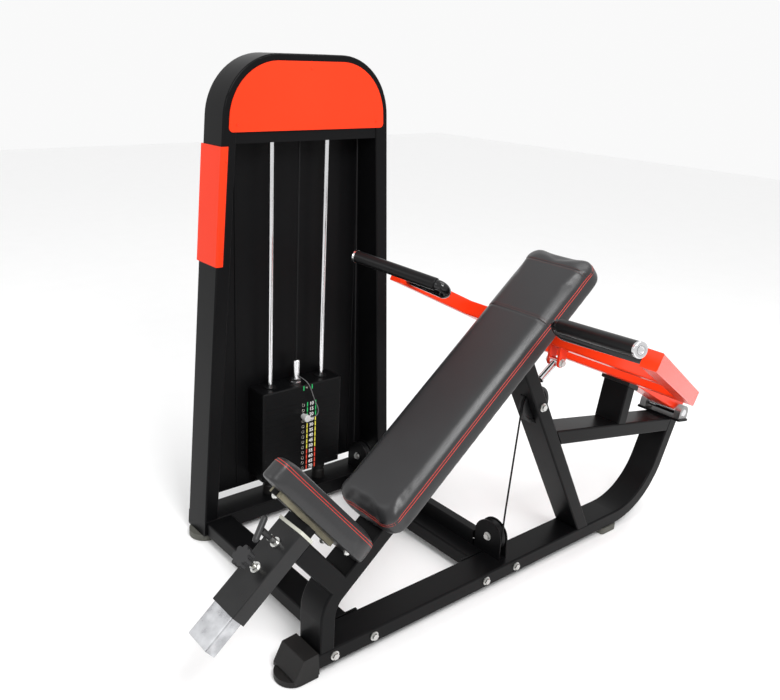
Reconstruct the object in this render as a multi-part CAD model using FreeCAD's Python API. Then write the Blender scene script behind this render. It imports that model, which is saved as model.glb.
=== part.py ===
"""Incline press machine with a weight stack: tower, floor frame, inclined bench and pivoted press arm.

The floor is Z = 0.  X = 0 is the middle plane of the bench, and the tower stands on its -X side.
The user faces -Y.  The origin is the middle of the front rubber foot where it meets the floor.
"""

import FreeCAD
import Part
import math
import os

V = FreeCAD.Vector
os.makedirs("parts", exist_ok=True)

# ---- driving dimensions, millimetres ---------------------------------------------------
TUBE_W = 100.0            # wide side of the frame tube, along X on the bench frame
TUBE_H = 50.0             # narrow side of the frame tube
TUBE_R = 6.0              # outer corner radius of the frame tube
FLOOR_GAP = 25.0          # underside of the floor tubes above the floor
FIT = 0.3                 # gap between pieces that move past each other
SHAFT_FIT = 0.05          # radial clearance of a shaft or bolt in its bore

RAIL_FRONT = 18.0         # front end of the bench rail
BEND_START = 1394.0       # where the rail starts to turn up at the back
BEND_R = 257.0            # centre line radius of that turn
BEND_TURN = 68.5          # degrees that it turns through
BEAM_FALL = 10.3          # degrees that the top beam falls towards the back
BEAM_Y = 1006.0           # a point of the top beam's upper line
BEAM_Z = 499.5

SPINE_Y = 93.0            # centre of the upright foot of the bench spine
SPINE_R = 95.0            # centre line radius of the spine's bend
INCLINE = 39.6            # degrees, slope of the bench
SPINE_N = 108.0           # height of the spine's centre line off the slope's datum
SPINE_TOP = 1330.0        # upper end of the spine along the slope
STRUT_FOOT = 1208.0       # middle of the strut where it meets the rail
STRUT_LEAN = 60.3         # degrees, strut against the rail
POST_AT = 355.0           # middle of the stop post, along the top beam from its datum point
BUMPER_T = 17.0           # rubber block between the stop post and the centre arm

PAD_GAP = 6.0             # thickness of the mounting plates between spine and back pad
PAD_THICK = 74.0
PAD_LOW = 452.0           # lower end of the back pad along the slope
PAD_LONG = 1001.0
PAD_HALF = 130.0
SEAT_THICK = 73.0
SEAT_NOSE_HALF = 28.0     # half width of the seat's narrow front end
SEAT_REAR_HALF = 142.0
SEAT_FRONT = 548.0        # front end of the seat off the slope's datum
SEAT_REAR = 152.0
SEAT_REAR_R = 66.0

SLEEVE_FRONT = 370.0      # front face of the seat sleeve off the slope's datum
SLEEVE_TOP = 300.0        # its upper end along the slope
SLEEVE_LONG = 258.0
SLEEVE_WALL = 4.0
BUSH_TALL = 9.0
POST_CLEAR = 22.0         # free seat post between bush and seat plate
POST_LONG = 388.0
POST_WALL = 3.0
SEAT_PLATE = 14.0
SEAT_PLATE_W = 46.0
HOLE_PITCH = 24.0         # holes of the seat post
PIN_ALONG = 54.0          # pull pin below the sleeve's upper end
KNOB_ALONG = 132.0        # star knob below the sleeve's upper end

CROSS_FRONT = 189.0       # centre of the front crossbeam
CROSS_REAR = 792.0        # centre of the rear crossbeam
FLANGE = 8.0              # thickness of the crossbeams' bolted flanges
FLANGE_LONG = 172.0
FLANGE_BOLTS = 141.0      # spacing of the two bolts through each flange
CHANNEL_W = 36.0          # cable channel on the rear crossbeam
CHANNEL_H = 52.0
CHANNEL_WALL = 2.5

TOWER_X = -770.0          # middle of the tower's depth
TOWER_D = 118.0
TOWER_Y = 541.5
TOWER_TOP = 1618.0
TOWER_FACE = 50.0         # width of the tower tube seen from the front
TOWER_FOOT_HALF = 413.0   # half width at the tube's lower end
TOWER_TAPER = 3.75        # degrees, each leg leans in
TOWER_R = 200.0           # outer corner radius
BASE_H = 56.0             # height of the tower's floor beam
HEADER_LOW = TOWER_TOP - 266.0    # lower edge of the closed header
SHEET = 2.0
PLATE_T = 3.0             # coloured cover plates
HEADER_PLATE_LOW = TOWER_TOP - 231.0
HEADER_MARGIN = 21.0
SIDE_PLATE_LOW = TOWER_TOP - 644.0
SIDE_PLATE_HIGH = TOWER_TOP - 273.0
SIDE_PLATE_LIP = 24.0

ROD_R = 9.5
ROD_SPACING = 221.0
ROD_BAR_T = 8.0
STACK_X = -772.0
STACK_W = 340.0
STACK_D = 102.0
STACK_BACK = 47.0         # plates' reach behind the rods
PLATE_PITCH = 21.0
PLATE_GAP = 0.5
PLATES = 13
PICKED = 3                # plates above the selector pin, the pinned one included
STACK_LOW = 155.5
TOP_PLATE_H = 66.0
STEM_R = 12.5
STEM_UP = 84.0            # stem head above the top plate

PULLEY_R = 52.0
GROOVE_R = 46.0
STRUT_PULLEY_R = 60.0
STRUT_GROOVE_R = 54.0
PULLEY_W = 22.0
AXLE_R = 6.0
CHEEK_T = 4.0
CABLE_R = 3.0
CABLE_X = 11.0            # the cable's plane on the bench frame
CABLE_Z = 93.0            # the cable's height inside the channel
TOP_PULLEY_DROP = 168.0   # pulley axles below the tower's top
TOP_PULLEY_Z = TOWER_TOP - TOP_PULLEY_DROP
TOP_REAR_BACK = 192.5     # rear top pulley behind the stack's middle

PIVOT_Y = 1696.0
PIVOT_Z = 406.0
SHAFT_R = 15.0
SHAFT_HALF = 84.0
BLOCK_X = 71.0            # middle of each bearing block
BLOCK_T = 24.0
PIVOT_PLATE_T = 8.0

ARM_W = 50.0              # square tube of the side arms
ARM_REAR = V(285.46, 1316.52, 607.57)   # lower rear end of the right side arm, middle of its width
ARM_SLOPE = 26.2          # degrees, arms fall towards the pivot
ARM_TOE = 18.6            # degrees, arms converge towards the pivot
ARM_LONG = 685.0
FRONT_TUBE_BACK = 401.0   # front cross tube, from the arms' rear ends
REAR_TUBE_BACK = 52.0
REAR_TUBE_H = 36.0
CENTRE_SLOPE = 29.7       # degrees, centre arm
CENTRE_H = 46.0
CENTRE_OFF = -2.0         # underside of the centre arm off the pivot axis
EAR_T = 8.0
EAR_GAP = 30.0
LUG = V(CABLE_X, 992.0, 730.0)    # bolt of the cable link
LINK_R = 11.0
LINK_LONG = 78.0

GRIP_R = 20.0
TUBE_HANDLE_R = 16.0
HANDLE_OUT_OFF = V(45.5, -128.0, 90.0)   # outer end of the right grip, from the arm's tip
HANDLE_IN_OFF = V(-245.5, -42.0, 52.0)   # where the grip's tube starts its bend
HANDLE_BEND_R = 20.5
HANDLE_LEAN = 50.0        # degrees that the hairpin's plane leans back and down

SIN = math.sin(math.radians(INCLINE))
COS = math.cos(math.radians(INCLINE))
BEAM_TAN = math.tan(math.radians(BEAM_FALL))
RAIL_TOP = FLOOR_GAP + TUBE_H


# ---- small geometry tools --------------------------------------------------------------
def save(name, solids):
    """Write one named piece, which may be several identical or symmetric solids."""
    shape = solids if not isinstance(solids, list) else Part.makeCompound(solids)
    shape.exportStep("parts/%s.step" % name)


def box(x0, x1, y0, y1, z0, z1):
    """Block between two corners, given axis by axis."""
    return Part.makeBox(x1 - x0, y1 - y0, z1 - z0, V(x0, y0, z0))


def rod(start, end, radius):
    """Round bar from one point to another."""
    return Part.makeCylinder(radius, (end - start).Length, start, end - start)


def ring(start, end, outer, inner):
    """Round bar from one point to another with a bore."""
    return rod(start, end, outer).cut(rod(start, end, inner))


def mirror_x(shape):
    """Shape mirrored to the other side of the bench's middle plane."""
    return shape.mirror(V(0, 0, 0), V(1, 0, 0))


def both_sides(shape):
    """Shape and its mirror image across the bench's middle plane."""
    return [shape, mirror_x(shape)]


def slope(x, along, up):
    """Point of the bench's slanted frame: along the slope and off its datum."""
    return V(x, along * COS - up * SIN, along * SIN + up * COS)


def prism(points, depth):
    """Flat outline pushed along depth."""
    return Part.Face(Part.makePolygon(points + [points[0]])).extrude(depth)


def slope_box(x0, x1, s0, s1, n0, n1):
    """Block along the bench's slope, between limits across, along and square to it."""
    outline = [slope(x0, s0, n0), slope(x0, s1, n0), slope(x0, s1, n1), slope(x0, s0, n1)]
    return prism(outline, V(x1 - x0, 0, 0))


def round_edges(shape, direction, radius):
    """Round every straight edge that runs along direction."""
    unit = V(direction).normalize()
    edges = [e for e in shape.Edges if isinstance(e.Curve, Part.Line)
             and abs(abs(e.Curve.Direction.dot(unit)) - 1) < 1e-6]
    return shape.makeFillet(radius, edges)


def tube_bar(start, end, width, height, side, radius=TUBE_R):
    """Closed bar from start to end; side is the direction of its width."""
    axis = (end - start).normalize()
    across = V(side).normalize()
    up = axis.cross(across)
    corner = start - across * (width / 2) - up * (height / 2)
    outline = [corner, corner + across * width, corner + across * width + up * height,
               corner + up * height]
    return round_edges(prism(outline, end - start), axis, radius)


def yz_face(edges):
    """Flat face inside a closed run of edges."""
    return Part.Face(Part.Wire(edges))


def beam_line(y, below=0.0):
    """Height of the top beam's upper line, or of a line below it."""
    return BEAM_Z - (y - BEAM_Y) * BEAM_TAN - below / math.cos(math.radians(BEAM_FALL))


def hex_bolt(at, out, radius=9.0, head=7.0, washer=14.0):
    """Bolt head on its washer; out points away from the surface."""
    unit = V(out).normalize()
    plate = Part.makeCylinder(washer, 2.0, at, unit)
    spin = V(0, 0, 1) if abs(unit.z) < 0.9 else V(1, 0, 0)
    flat = unit.cross(spin).normalize()
    side = unit.cross(flat)
    reach = radius / math.cos(math.pi / 6)
    ring_points = [at + unit * 2.0 + flat * (reach * math.cos(math.radians(a))) + side
                   * (reach * math.sin(math.radians(a))) for a in range(0, 360, 60)]
    return plate.fuse(prism(ring_points, unit * head))


# ---- floor frame -----------------------------------------------------------------------
def rail():
    """Bench rail, bent up at the back into the rear upright, cut flush with the top beam."""
    turn = math.radians(BEND_TURN)
    centre_z = FLOOR_GAP + TUBE_H / 2 + BEND_R
    lines = []
    for radius in (BEND_R + TUBE_H / 2, BEND_R - TUBE_H / 2):
        start = V(-TUBE_W / 2, RAIL_FRONT, centre_z - radius)
        a = V(-TUBE_W / 2, BEND_START, centre_z - radius)
        middle = V(-TUBE_W / 2, BEND_START + radius * math.sin(turn / 2),
                   centre_z - radius * math.cos(turn / 2))
        b = V(-TUBE_W / 2, BEND_START + radius * math.sin(turn), centre_z - radius * math.cos(turn))
        reach = 0.0
        while b.z + reach * math.sin(turn) < beam_line(b.y + reach * math.cos(turn)):
            reach += 0.25
        top = b + V(0, math.cos(turn), math.sin(turn)) * reach
        lines.append((start, a, middle, b, top))
    outer, inner = lines
    edges = [Part.LineSegment(outer[0], outer[1]).toShape()]
    edges.append(Part.Arc(outer[1], outer[2], outer[3]).toShape())
    edges.append(Part.LineSegment(outer[3], outer[4]).toShape())
    edges.append(Part.LineSegment(outer[4], inner[4]).toShape())
    edges.append(Part.LineSegment(inner[4], inner[3]).toShape())
    edges.append(Part.Arc(inner[3], inner[2], inner[1]).toShape())
    edges.append(Part.LineSegment(inner[1], inner[0]).toShape())
    edges.append(Part.LineSegment(inner[0], outer[0]).toShape())
    bar = yz_face(edges).extrude(V(TUBE_W, 0, 0))
    long_edges = [e for e in bar.Edges
                  if not isinstance(e.Curve, Part.Line) or abs(e.Curve.Direction.x) < 0.5]
    side_edges = [e for e in long_edges if e.Length > 60]
    bar = bar.makeFillet(TUBE_R, side_edges)
    for y in flange_bolt_places():
        bar = bar.cut(rod(V(-TUBE_W, y, RAIL_MID), V(TUBE_W, y, RAIL_MID), AXLE_R))
    return bar.cut(beam_box(-TUBE_W, TUBE_W, PIVOT_ALONG - TUBE_H, PIVOT_ALONG + TUBE_H, 0, TUBE_H))


RAIL_MID = FLOOR_GAP + TUBE_H / 2


def flange_bolt_places():
    """Where the rail is bolted to the crossbeams."""
    return [c + side * FLANGE_BOLTS / 2 for c in (CROSS_FRONT, CROSS_REAR) for side in (-1, 1)]


def spine():
    """Bench spine: upright foot on the rail, bent back into the slope under the back pad."""
    turn = math.radians(90 - INCLINE)
    corner_s = (SPINE_Y + SPINE_N * SIN) / COS
    corner = slope(0, corner_s, SPINE_N)
    bar = None
    edges = []
    sides = []
    for off in (TUBE_H / 2, -TUBE_H / 2):
        radius = SPINE_R + off
        centre = V(0, SPINE_Y + SPINE_R, corner.z - SPINE_R * math.tan(turn / 2))
        low = V(-TUBE_W / 2, SPINE_Y - off, RAIL_TOP)
        a = V(-TUBE_W / 2, SPINE_Y - off, centre.z)
        middle = centre + V(-TUBE_W / 2, -radius * math.cos(turn / 2), radius * math.sin(turn / 2))
        b = centre + V(-TUBE_W / 2, -radius * math.cos(turn), radius * math.sin(turn))
        top = slope(-TUBE_W / 2, SPINE_TOP, SPINE_N + off)
        sides.append((low, a, middle, b, top))
    front, back = sides
    edges.append(Part.LineSegment(front[0], front[1]).toShape())
    edges.append(Part.Arc(front[1], front[2], front[3]).toShape())
    edges.append(Part.LineSegment(front[3], front[4]).toShape())
    edges.append(Part.LineSegment(front[4], back[4]).toShape())
    edges.append(Part.LineSegment(back[4], back[3]).toShape())
    edges.append(Part.Arc(back[3], back[2], back[1]).toShape())
    edges.append(Part.LineSegment(back[1], back[0]).toShape())
    edges.append(Part.LineSegment(back[0], front[0]).toShape())
    bar = yz_face(edges).extrude(V(TUBE_W, 0, 0))
    long_edges = [e for e in bar.Edges
                  if not isinstance(e.Curve, Part.Line) or abs(e.Curve.Direction.x) < 0.5]
    return bar.makeFillet(TUBE_R, [e for e in long_edges if e.Length > 51])


def strut_axis():
    """Unit vector up the strut."""
    lean = math.radians(STRUT_LEAN)
    return V(0, -math.cos(lean), math.sin(lean))


def strut():
    """Diagonal strut from the rail to the spine, slotted at the top for the cable pulley."""
    half = TUBE_H / 2 / math.sin(math.radians(STRUT_LEAN))
    back_n = SPINE_N - TUBE_H / 2
    outline = [V(-TUBE_W / 2, STRUT_FOOT - half, RAIL_TOP), V(-TUBE_W / 2, STRUT_FOOT + half, RAIL_TOP)]
    for off in (half, -half):
        lean = math.tan(math.radians(STRUT_LEAN))
        y0 = STRUT_FOOT + off
        k = SIN / COS
        y = (RAIL_TOP + lean * y0 - back_n / COS) / (k + lean)
        outline.append(V(-TUBE_W / 2, y, back_n / COS + k * y))
    bar = prism(outline, V(TUBE_W, 0, 0))
    bar = round_edges(bar, strut_axis(), TUBE_R)
    slot = STRUT_PULLEY_R + 6
    gap = PULLEY_W / 2 + 2
    c = STRUT_PULLEY
    bar = bar.cut(rod(V(c.x - gap, c.y, c.z), V(c.x + gap, c.y, c.z), slot))
    return bar.cut(rod(V(-TUBE_W, c.y, c.z), V(TUBE_W, c.y, c.z), AXLE_R + SHAFT_FIT))


STRUT_PULLEY = V(CABLE_X, 906.0, 606.0)


def top_beam():
    """Beam from the strut back to the rear upright, falling towards the back."""
    lean = math.tan(math.radians(STRUT_LEAN))
    half = TUBE_H / 2 / math.sin(math.radians(STRUT_LEAN))
    turn = math.radians(BEND_TURN)
    centre_z = RAIL_MID + BEND_R
    radius = BEND_R - TUBE_H / 2
    inner = V(0, BEND_START + radius * math.sin(turn), centre_z - radius * math.cos(turn))
    outline = []
    for below in (0.0, TUBE_H):
        k = -BEAM_TAN
        b0 = beam_line(0, below)
        y = (RAIL_TOP + lean * (STRUT_FOOT + half) - b0) / (k + lean)
        outline.append(V(-TUBE_W / 2, y, b0 + k * y))
    for below in (TUBE_H, 0.0):
        k = -BEAM_TAN
        b0 = beam_line(0, below)
        up = math.tan(turn)
        y = (b0 - inner.z + up * inner.y) / (up - k)
        outline.append(V(-TUBE_W / 2, y, b0 + k * y))
    bar = prism(outline, V(TUBE_W, 0, 0))
    return round_edges(bar, V(0, 1, -BEAM_TAN), TUBE_R)


def beam_frame(x, along, up):
    """Point in the top beam's own slanted frame."""
    fall = math.radians(BEAM_FALL)
    return V(x, BEAM_Y + along * math.cos(fall) + up * math.sin(fall),
             BEAM_Z - along * math.sin(fall) + up * math.cos(fall))


def beam_box(x0, x1, a0, a1, u0, u1):
    """Block along the top beam's fall, between limits across, along and square to it."""
    outline = [beam_frame(x0, a0, u0), beam_frame(x0, a1, u0), beam_frame(x0, a1, u1),
               beam_frame(x0, a0, u1)]
    return prism(outline, V(x1 - x0, 0, 0))


def under_centre_arm(y, below):
    """Height of a line parallel to the centre arm's underside."""
    fall = math.radians(CENTRE_SLOPE)
    base = V(0, PIVOT_Y + CENTRE_OFF * math.sin(fall), PIVOT_Z + CENTRE_OFF * math.cos(fall))
    return base.z - (y - base.y) * math.tan(fall) - below / math.cos(fall)


def post_block(grow, low_gap, high_gap):
    """Block on the top beam between two lines under the centre arm; grow makes it thicker."""
    half = TUBE_H / 2 + grow
    x0 = -TUBE_W / 2 - grow
    corners = []
    for a in (POST_AT - half, POST_AT + half):
        base = beam_frame(x0, a, 0)
        tip = beam_frame(x0, a, 1) - base
        ends = []
        for gap in (low_gap, high_gap):
            if gap is None:
                ends.append(base)
                continue
            k = math.tan(math.radians(CENTRE_SLOPE))
            reach = (under_centre_arm(base.y, gap) - base.z) / (tip.z + k * tip.y)
            ends.append(base + tip * reach)
        corners.append(ends)
    outline = [corners[0][0], corners[1][0], corners[1][1], corners[0][1]]
    return prism(outline, V(-2 * x0, 0, 0))


def stop_post():
    """Post on the top beam, mitred to the slope of the centre arm."""
    post = post_block(0, None, BUMPER_T + FIT)
    return round_edges(post, beam_frame(0, 0, 1) - beam_frame(0, 0, 0), TUBE_R)


def stop_bumper():
    """Rubber block on the stop post, just under the centre arm."""
    return round_edges(post_block(6, BUMPER_T + FIT, FIT), V(1, 0, 0), 3.0)


def boot():
    """Moulded rubber end boot of the rail, with a half-round foot under its front."""
    side = TUBE_W / 2 + 3
    outline = [V(-side, 60, 84), V(-side, RAIL_FRONT - 6, 81), V(-side, RAIL_FRONT - 34, 26),
               V(-side, RAIL_FRONT - 34, 14), V(-side, 66, 14)]
    body = prism(outline, V(2 * side, 0, 0))
    body = body.makeFillet(5.0,
                           [e for e in body.Edges if e.Length > 2 * side - 1
                            and e.BoundBox.ZMin > 15 and e.BoundBox.YMax < 50])
    hollow = box(-TUBE_W / 2, TUBE_W / 2, RAIL_FRONT, 400, FLOOR_GAP, RAIL_TOP)
    foot_c = V(0, RAIL_FRONT - 8, 0)
    foot = Part.makeCylinder(side - 2, 20, foot_c).common(box(-200, 200, -200, foot_c.y + 2, -1, 60))
    heel = box(-(side - 2), side - 2, foot_c.y, 64, 0, 20)
    foot = foot.fuse(heel).removeSplitter()
    foot = foot.makeChamfer(3.0, [e for e in foot.Edges if abs(e.BoundBox.ZMax) < 0.01])
    body = body.fuse(foot).cut(hollow)
    clear = box(-TUBE_W / 2, TUBE_W / 2, SPINE_Y - TUBE_H / 2, 400, RAIL_TOP - 1, 200)
    return body.cut(clear).removeSplitter()


def rear_foot():
    """Rubber pad under the rail, just ahead of the rear bend."""
    half = TUBE_W / 2 + 3
    pad = box(-half, half, BEND_START - 64, BEND_START + 16, 0, FLOOR_GAP)
    pad = pad.makeFillet(12.0, [e for e in pad.Edges if abs(e.Curve.Direction.z) > 0.9])
    return pad.makeChamfer(3.0, [e for e in pad.Edges if e.BoundBox.ZMax < 0.01])


def crossbeam(centre):
    """Floor crossbeam between the tower's floor beam and a flange bolted to the rail."""
    x0 = TOWER_X + TOWER_D / 2
    x1 = -TUBE_W / 2 - FLANGE
    bar = tube_bar(V(x0, centre, RAIL_MID), V(x1, centre, RAIL_MID), TUBE_W, TUBE_H, V(0, 1, 0))
    flange = box(x1, x1 + FLANGE, centre - FLANGE_LONG / 2, centre + FLANGE_LONG / 2, FLOOR_GAP, RAIL_TOP)
    for side in (-1, 1):
        y = centre + side * FLANGE_BOLTS / 2
        flange = flange.cut(rod(V(x1 - 1, y, RAIL_MID), V(0, y, RAIL_MID), AXLE_R))
    return bar.fuse(flange)


def cable_channel():
    """Folded cover that carries the cable along the rear crossbeam."""
    x0 = TOWER_PULLEY.x + PULLEY_R + 8
    x1 = RAIL_PULLEY.x - PULLEY_R - 12
    y1 = CROSS_REAR + TUBE_W / 2
    y0 = y1 - CHANNEL_W
    outer = box(x0, x1, y0, y1, RAIL_TOP, RAIL_TOP + CHANNEL_H)
    outer = outer.makeFillet(4.0,
                             [e for e in outer.Edges if abs(e.Curve.Direction.x) > 0.9
                              and e.BoundBox.ZMin > RAIL_TOP + 1])
    inner = box(x0 - 1, x1 + 1, y0 + CHANNEL_WALL, y1 - CHANNEL_WALL, RAIL_TOP - 1,
                RAIL_TOP + CHANNEL_H - CHANNEL_WALL)
    return outer.cut(inner)


CABLE_Y = CROSS_REAR + TUBE_W / 2 - CHANNEL_W / 2
RAIL_PULLEY = V(CABLE_X - GROOVE_R, CABLE_Y, CABLE_Z + GROOVE_R)
TOWER_PULLEY = V(STACK_X + GROOVE_R, CABLE_Y, CABLE_Z + GROOVE_R)


def bolts():
    """Bolt heads and nuts of the frame's joints."""
    found = []
    for y in flange_bolt_places():
        shank = rod(V(-TUBE_W / 2 - FLANGE, y, RAIL_MID), V(TUBE_W / 2, y, RAIL_MID), AXLE_R - SHAFT_FIT)
        found.append(hex_bolt(V(TUBE_W / 2, y, RAIL_MID), V(1, 0, 0)).fuse(shank))
    return found


# ---- pulleys ---------------------------------------------------------------------------
def pulley(centre, axis, radius, groove):
    """Grooved wheel with a hub, dished on both faces."""
    half = PULLEY_W / 2
    unit = V(axis).normalize()
    profile = [V(AXLE_R + SHAFT_FIT, 0, -half), V(20, 0, -half), V(22, 0, -half + 4),
               V(radius - 12, 0, -half + 4)]
    profile += [V(radius - 9, 0, -half + 1), V(radius, 0, -half + 1), V(groove - CABLE_R, 0, -2),
                V(groove - CABLE_R, 0, 2)]
    profile += [V(radius, 0, half - 1), V(radius - 9, 0, half - 1), V(radius - 12, 0, half - 4),
                V(22, 0, half - 4), V(20, 0, half)]
    profile.append(V(AXLE_R + SHAFT_FIT, 0, half))
    wheel = Part.Face(Part.makePolygon(profile + [profile[0]])).revolve(V(0, 0, 0), V(0, 0, 1), 360)
    wheel.Placement = FreeCAD.Placement(centre, FreeCAD.Rotation(V(0, 0, 1), unit))
    return wheel


def cheek(centre, y, foot_z):
    """Bracket side with a round head, standing on a level surface."""
    r = PULLEY_R + 4
    low_l = V(centre.x - r, y, foot_z)
    low_r = V(centre.x + r, y, foot_z)
    left = V(centre.x - r, y, centre.z)
    right = V(centre.x + r, y, centre.z)
    top = V(centre.x, y, centre.z + r)
    edges = [Part.LineSegment(low_l, left).toShape(), Part.Arc(left, top, right).toShape()]
    edges += [Part.LineSegment(right, low_r).toShape(), Part.LineSegment(low_r, low_l).toShape()]
    return yz_face(edges).extrude(V(0, CHEEK_T, 0))


def floor_pulley_bracket(centre, foot_z):
    """Two round-headed cheeks on a base strip, for a pulley turning about Y."""
    gap = PULLEY_W / 2 + 2
    front = cheek(centre, centre.y - gap - CHEEK_T, foot_z)
    rear = cheek(centre, centre.y + gap, foot_z)
    r = PULLEY_R + 4
    base = box(centre.x - r, centre.x + r, centre.y - gap, centre.y + gap, foot_z, foot_z + 4)
    bracket = front.fuse(rear).fuse(base)
    axle = rod(centre - V(0, 60, 0), centre + V(0, 60, 0), AXLE_R)
    return bracket.cut(axle)


def pulley_bolt(centre, axis, half):
    """Axle bolt through a pulley and its cheeks, with a head and a nut."""
    unit = V(axis).normalize()
    shank = rod(centre - unit * half, centre + unit * half, AXLE_R - 0.02)
    head = hex_bolt(centre + unit * half, unit)
    nut = hex_bolt(centre - unit * half, unit * -1)
    return shank.fuse(head).fuse(nut)


# ---- tower -----------------------------------------------------------------------------
def tower_outline(x, inset):
    """Inverted U outline of the tower, moved inwards by inset; the legs taper together."""
    taper = math.radians(TOWER_TAPER)
    z0 = FLOOR_GAP
    half0 = TOWER_FOOT_HALF - inset / math.cos(taper)
    top = TOWER_TOP - inset
    r = TOWER_R - inset
    half_top = half0 - (top - z0) * math.tan(taper)
    lean = math.radians(90) - taper
    reach = r * math.tan(lean / 2)
    cz = top - r
    cy = half_top - reach
    a = V(x, TOWER_Y + half0, z0)
    b = V(x, TOWER_Y + cy + r * math.cos(taper), cz + r * math.sin(taper))
    mid = V(x, TOWER_Y + cy + r * math.cos((taper + math.pi / 2) / 2),
            cz + r * math.sin((taper + math.pi / 2) / 2))
    c = V(x, TOWER_Y + cy, top)
    flip = [V(x, 2 * TOWER_Y - p.y, p.z) for p in (a, b, mid, c)]
    edges = [Part.LineSegment(a, b).toShape(), Part.Arc(b, mid, c).toShape(),
             Part.LineSegment(c, flip[3]).toShape()]
    edges += [Part.Arc(flip[3], flip[2], flip[1]).toShape(), Part.LineSegment(flip[1], flip[0]).toShape()]
    edges.append(Part.LineSegment(flip[0], a).toShape())
    return Part.Face(Part.Wire(edges))


TOWER_FRONT = TOWER_X + TOWER_D / 2
TOWER_BACK = TOWER_X - TOWER_D / 2
BASE_TOP = FLOOR_GAP + BASE_H


def tower_frame():
    """Inverted U of tube that frames the weight stack."""
    outer = tower_outline(TOWER_BACK, 0).extrude(V(TOWER_D, 0, 0))
    inner = tower_outline(TOWER_BACK - 1, TOWER_FACE).extrude(V(TOWER_D + 2, 0, 0))
    frame = outer.cut(inner)
    front = [e for e in frame.Edges if e.BoundBox.XLength < 0.01 and e.Length > 60
             and e.BoundBox.ZMax > 100]
    frame = frame.makeFillet(5.0, front)
    base = box(TOWER_BACK - 1, TOWER_FRONT + 1, 0, 2000, 0, BASE_TOP)
    return frame.cut(base)


def tower_base():
    """Floor beam of the tower, with the ends cut to the legs' lean."""
    taper = math.tan(math.radians(TOWER_TAPER))
    low = TOWER_FOOT_HALF
    high = low - BASE_H * taper
    x = TOWER_BACK
    outline = [V(x, TOWER_Y - low, FLOOR_GAP), V(x, TOWER_Y + low, FLOOR_GAP),
               V(x, TOWER_Y + high, BASE_TOP), V(x, TOWER_Y - high, BASE_TOP)]
    bar = prism(outline, V(TOWER_D, 0, 0))
    bar = round_edges(bar, V(0, 1, 0), 5.0)
    for y in rod_places():
        bar = bar.cut(rod(V(STACK_X, y, BASE_TOP - 20), V(STACK_X, y, BASE_TOP + 1), ROD_R + SHAFT_FIT))
    return bar


def rod_places():
    """Y of both guide rods."""
    return [TOWER_Y - ROD_SPACING / 2, TOWER_Y + ROD_SPACING / 2]


def header_panel():
    """Closed sheet behind the coloured header plate."""
    face = tower_outline(TOWER_FRONT - 6, TOWER_FACE + 0.0).extrude(V(SHEET, 0, 0))
    keep = box(TOWER_BACK, TOWER_FRONT, 0, 2000, HEADER_LOW, 2000)
    sheet = face.common(keep)
    lip_half = TOWER_FOOT_HALF - TOWER_FACE - (HEADER_LOW - FLOOR_GAP) * math.tan(math.radians(TOWER_TAPER))
    lip = box(TOWER_FRONT - 30, TOWER_FRONT - 6, TOWER_Y - lip_half + 4, TOWER_Y + lip_half - 4,
              HEADER_LOW, HEADER_LOW + SHEET)
    return sheet.fuse(lip)


def header_plate():
    """Coloured plate over the header, with the tower's own round shoulders."""
    face = tower_outline(TOWER_FRONT, HEADER_MARGIN).extrude(V(PLATE_T, 0, 0))
    plate = face.common(box(TOWER_FRONT - 1, TOWER_FRONT + 5, 0, 2000, HEADER_PLATE_LOW, 2000))
    low = [e for e in plate.Edges if e.BoundBox.XLength > 2 and e.BoundBox.ZMax < HEADER_PLATE_LOW + 1]
    return plate.makeFillet(14.0, low)


def side_plate():
    """Coloured cover folded round the narrow side of the near leg."""
    taper = math.radians(TOWER_TAPER)
    def edge(z):
        return TOWER_Y - TOWER_FOOT_HALF + (z - FLOOR_GAP) * math.tan(taper)
    x0 = TOWER_BACK - 6
    x1 = TOWER_FRONT + PLATE_T
    z0, z1 = SIDE_PLATE_LOW, SIDE_PLATE_HIGH
    out = [V(x0, edge(z0) - PLATE_T, z0), V(x0, edge(z0) + SIDE_PLATE_LIP, z0),
           V(x0, edge(z1) + SIDE_PLATE_LIP, z1), V(x0, edge(z1) - PLATE_T, z1)]
    block = prism(out, V(x1 - x0, 0, 0))
    lean_edges = [e for e in block.Edges if e.BoundBox.XLength < 0.01 and e.BoundBox.ZLength > 100
                  and e.BoundBox.XMin > x1 - 1 and e.BoundBox.YMin < edge(z1)]
    block = block.makeFillet(6.0, lean_edges)
    core = [V(x0 - 1, edge(z0 - 9), z0 - 9), V(x0 - 1, edge(z0 - 9) + 99, z0 - 9),
            V(x0 - 1, edge(z1 + 9) + 99, z1 + 9), V(x0 - 1, edge(z1 + 9), z1 + 9)]
    return block.cut(prism(core, V(TOWER_FRONT - x0 + 1, 0, 0)))


def rear_panel():
    """Pressed sheet that closes the tower's back, with two shallow upright folds."""
    taper = math.tan(math.radians(TOWER_TAPER))
    low = BASE_TOP + 27
    face = tower_outline(TOWER_BACK + 3, TOWER_FACE).extrude(V(SHEET, 0, 0))
    sheet = face.common(box(TOWER_BACK - 9, TOWER_FRONT, 0, 2000, low, 2000))
    for y in (TOWER_Y + 36, TOWER_Y + 290, TOWER_Y - 218):
        to_leg = (TOWER_FOOT_HALF - TOWER_FACE - abs(y - TOWER_Y) - 6) / taper
        rib = rod(V(TOWER_BACK + 5, y, low + 20),
                  V(TOWER_BACK + 5, y, min(HEADER_LOW, FLOOR_GAP + to_leg)), 3.0)
        sheet = sheet.fuse(rib.common(box(TOWER_BACK + 4, TOWER_BACK + 20, 0, 2000, 0, 2000)))
    return sheet


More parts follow.
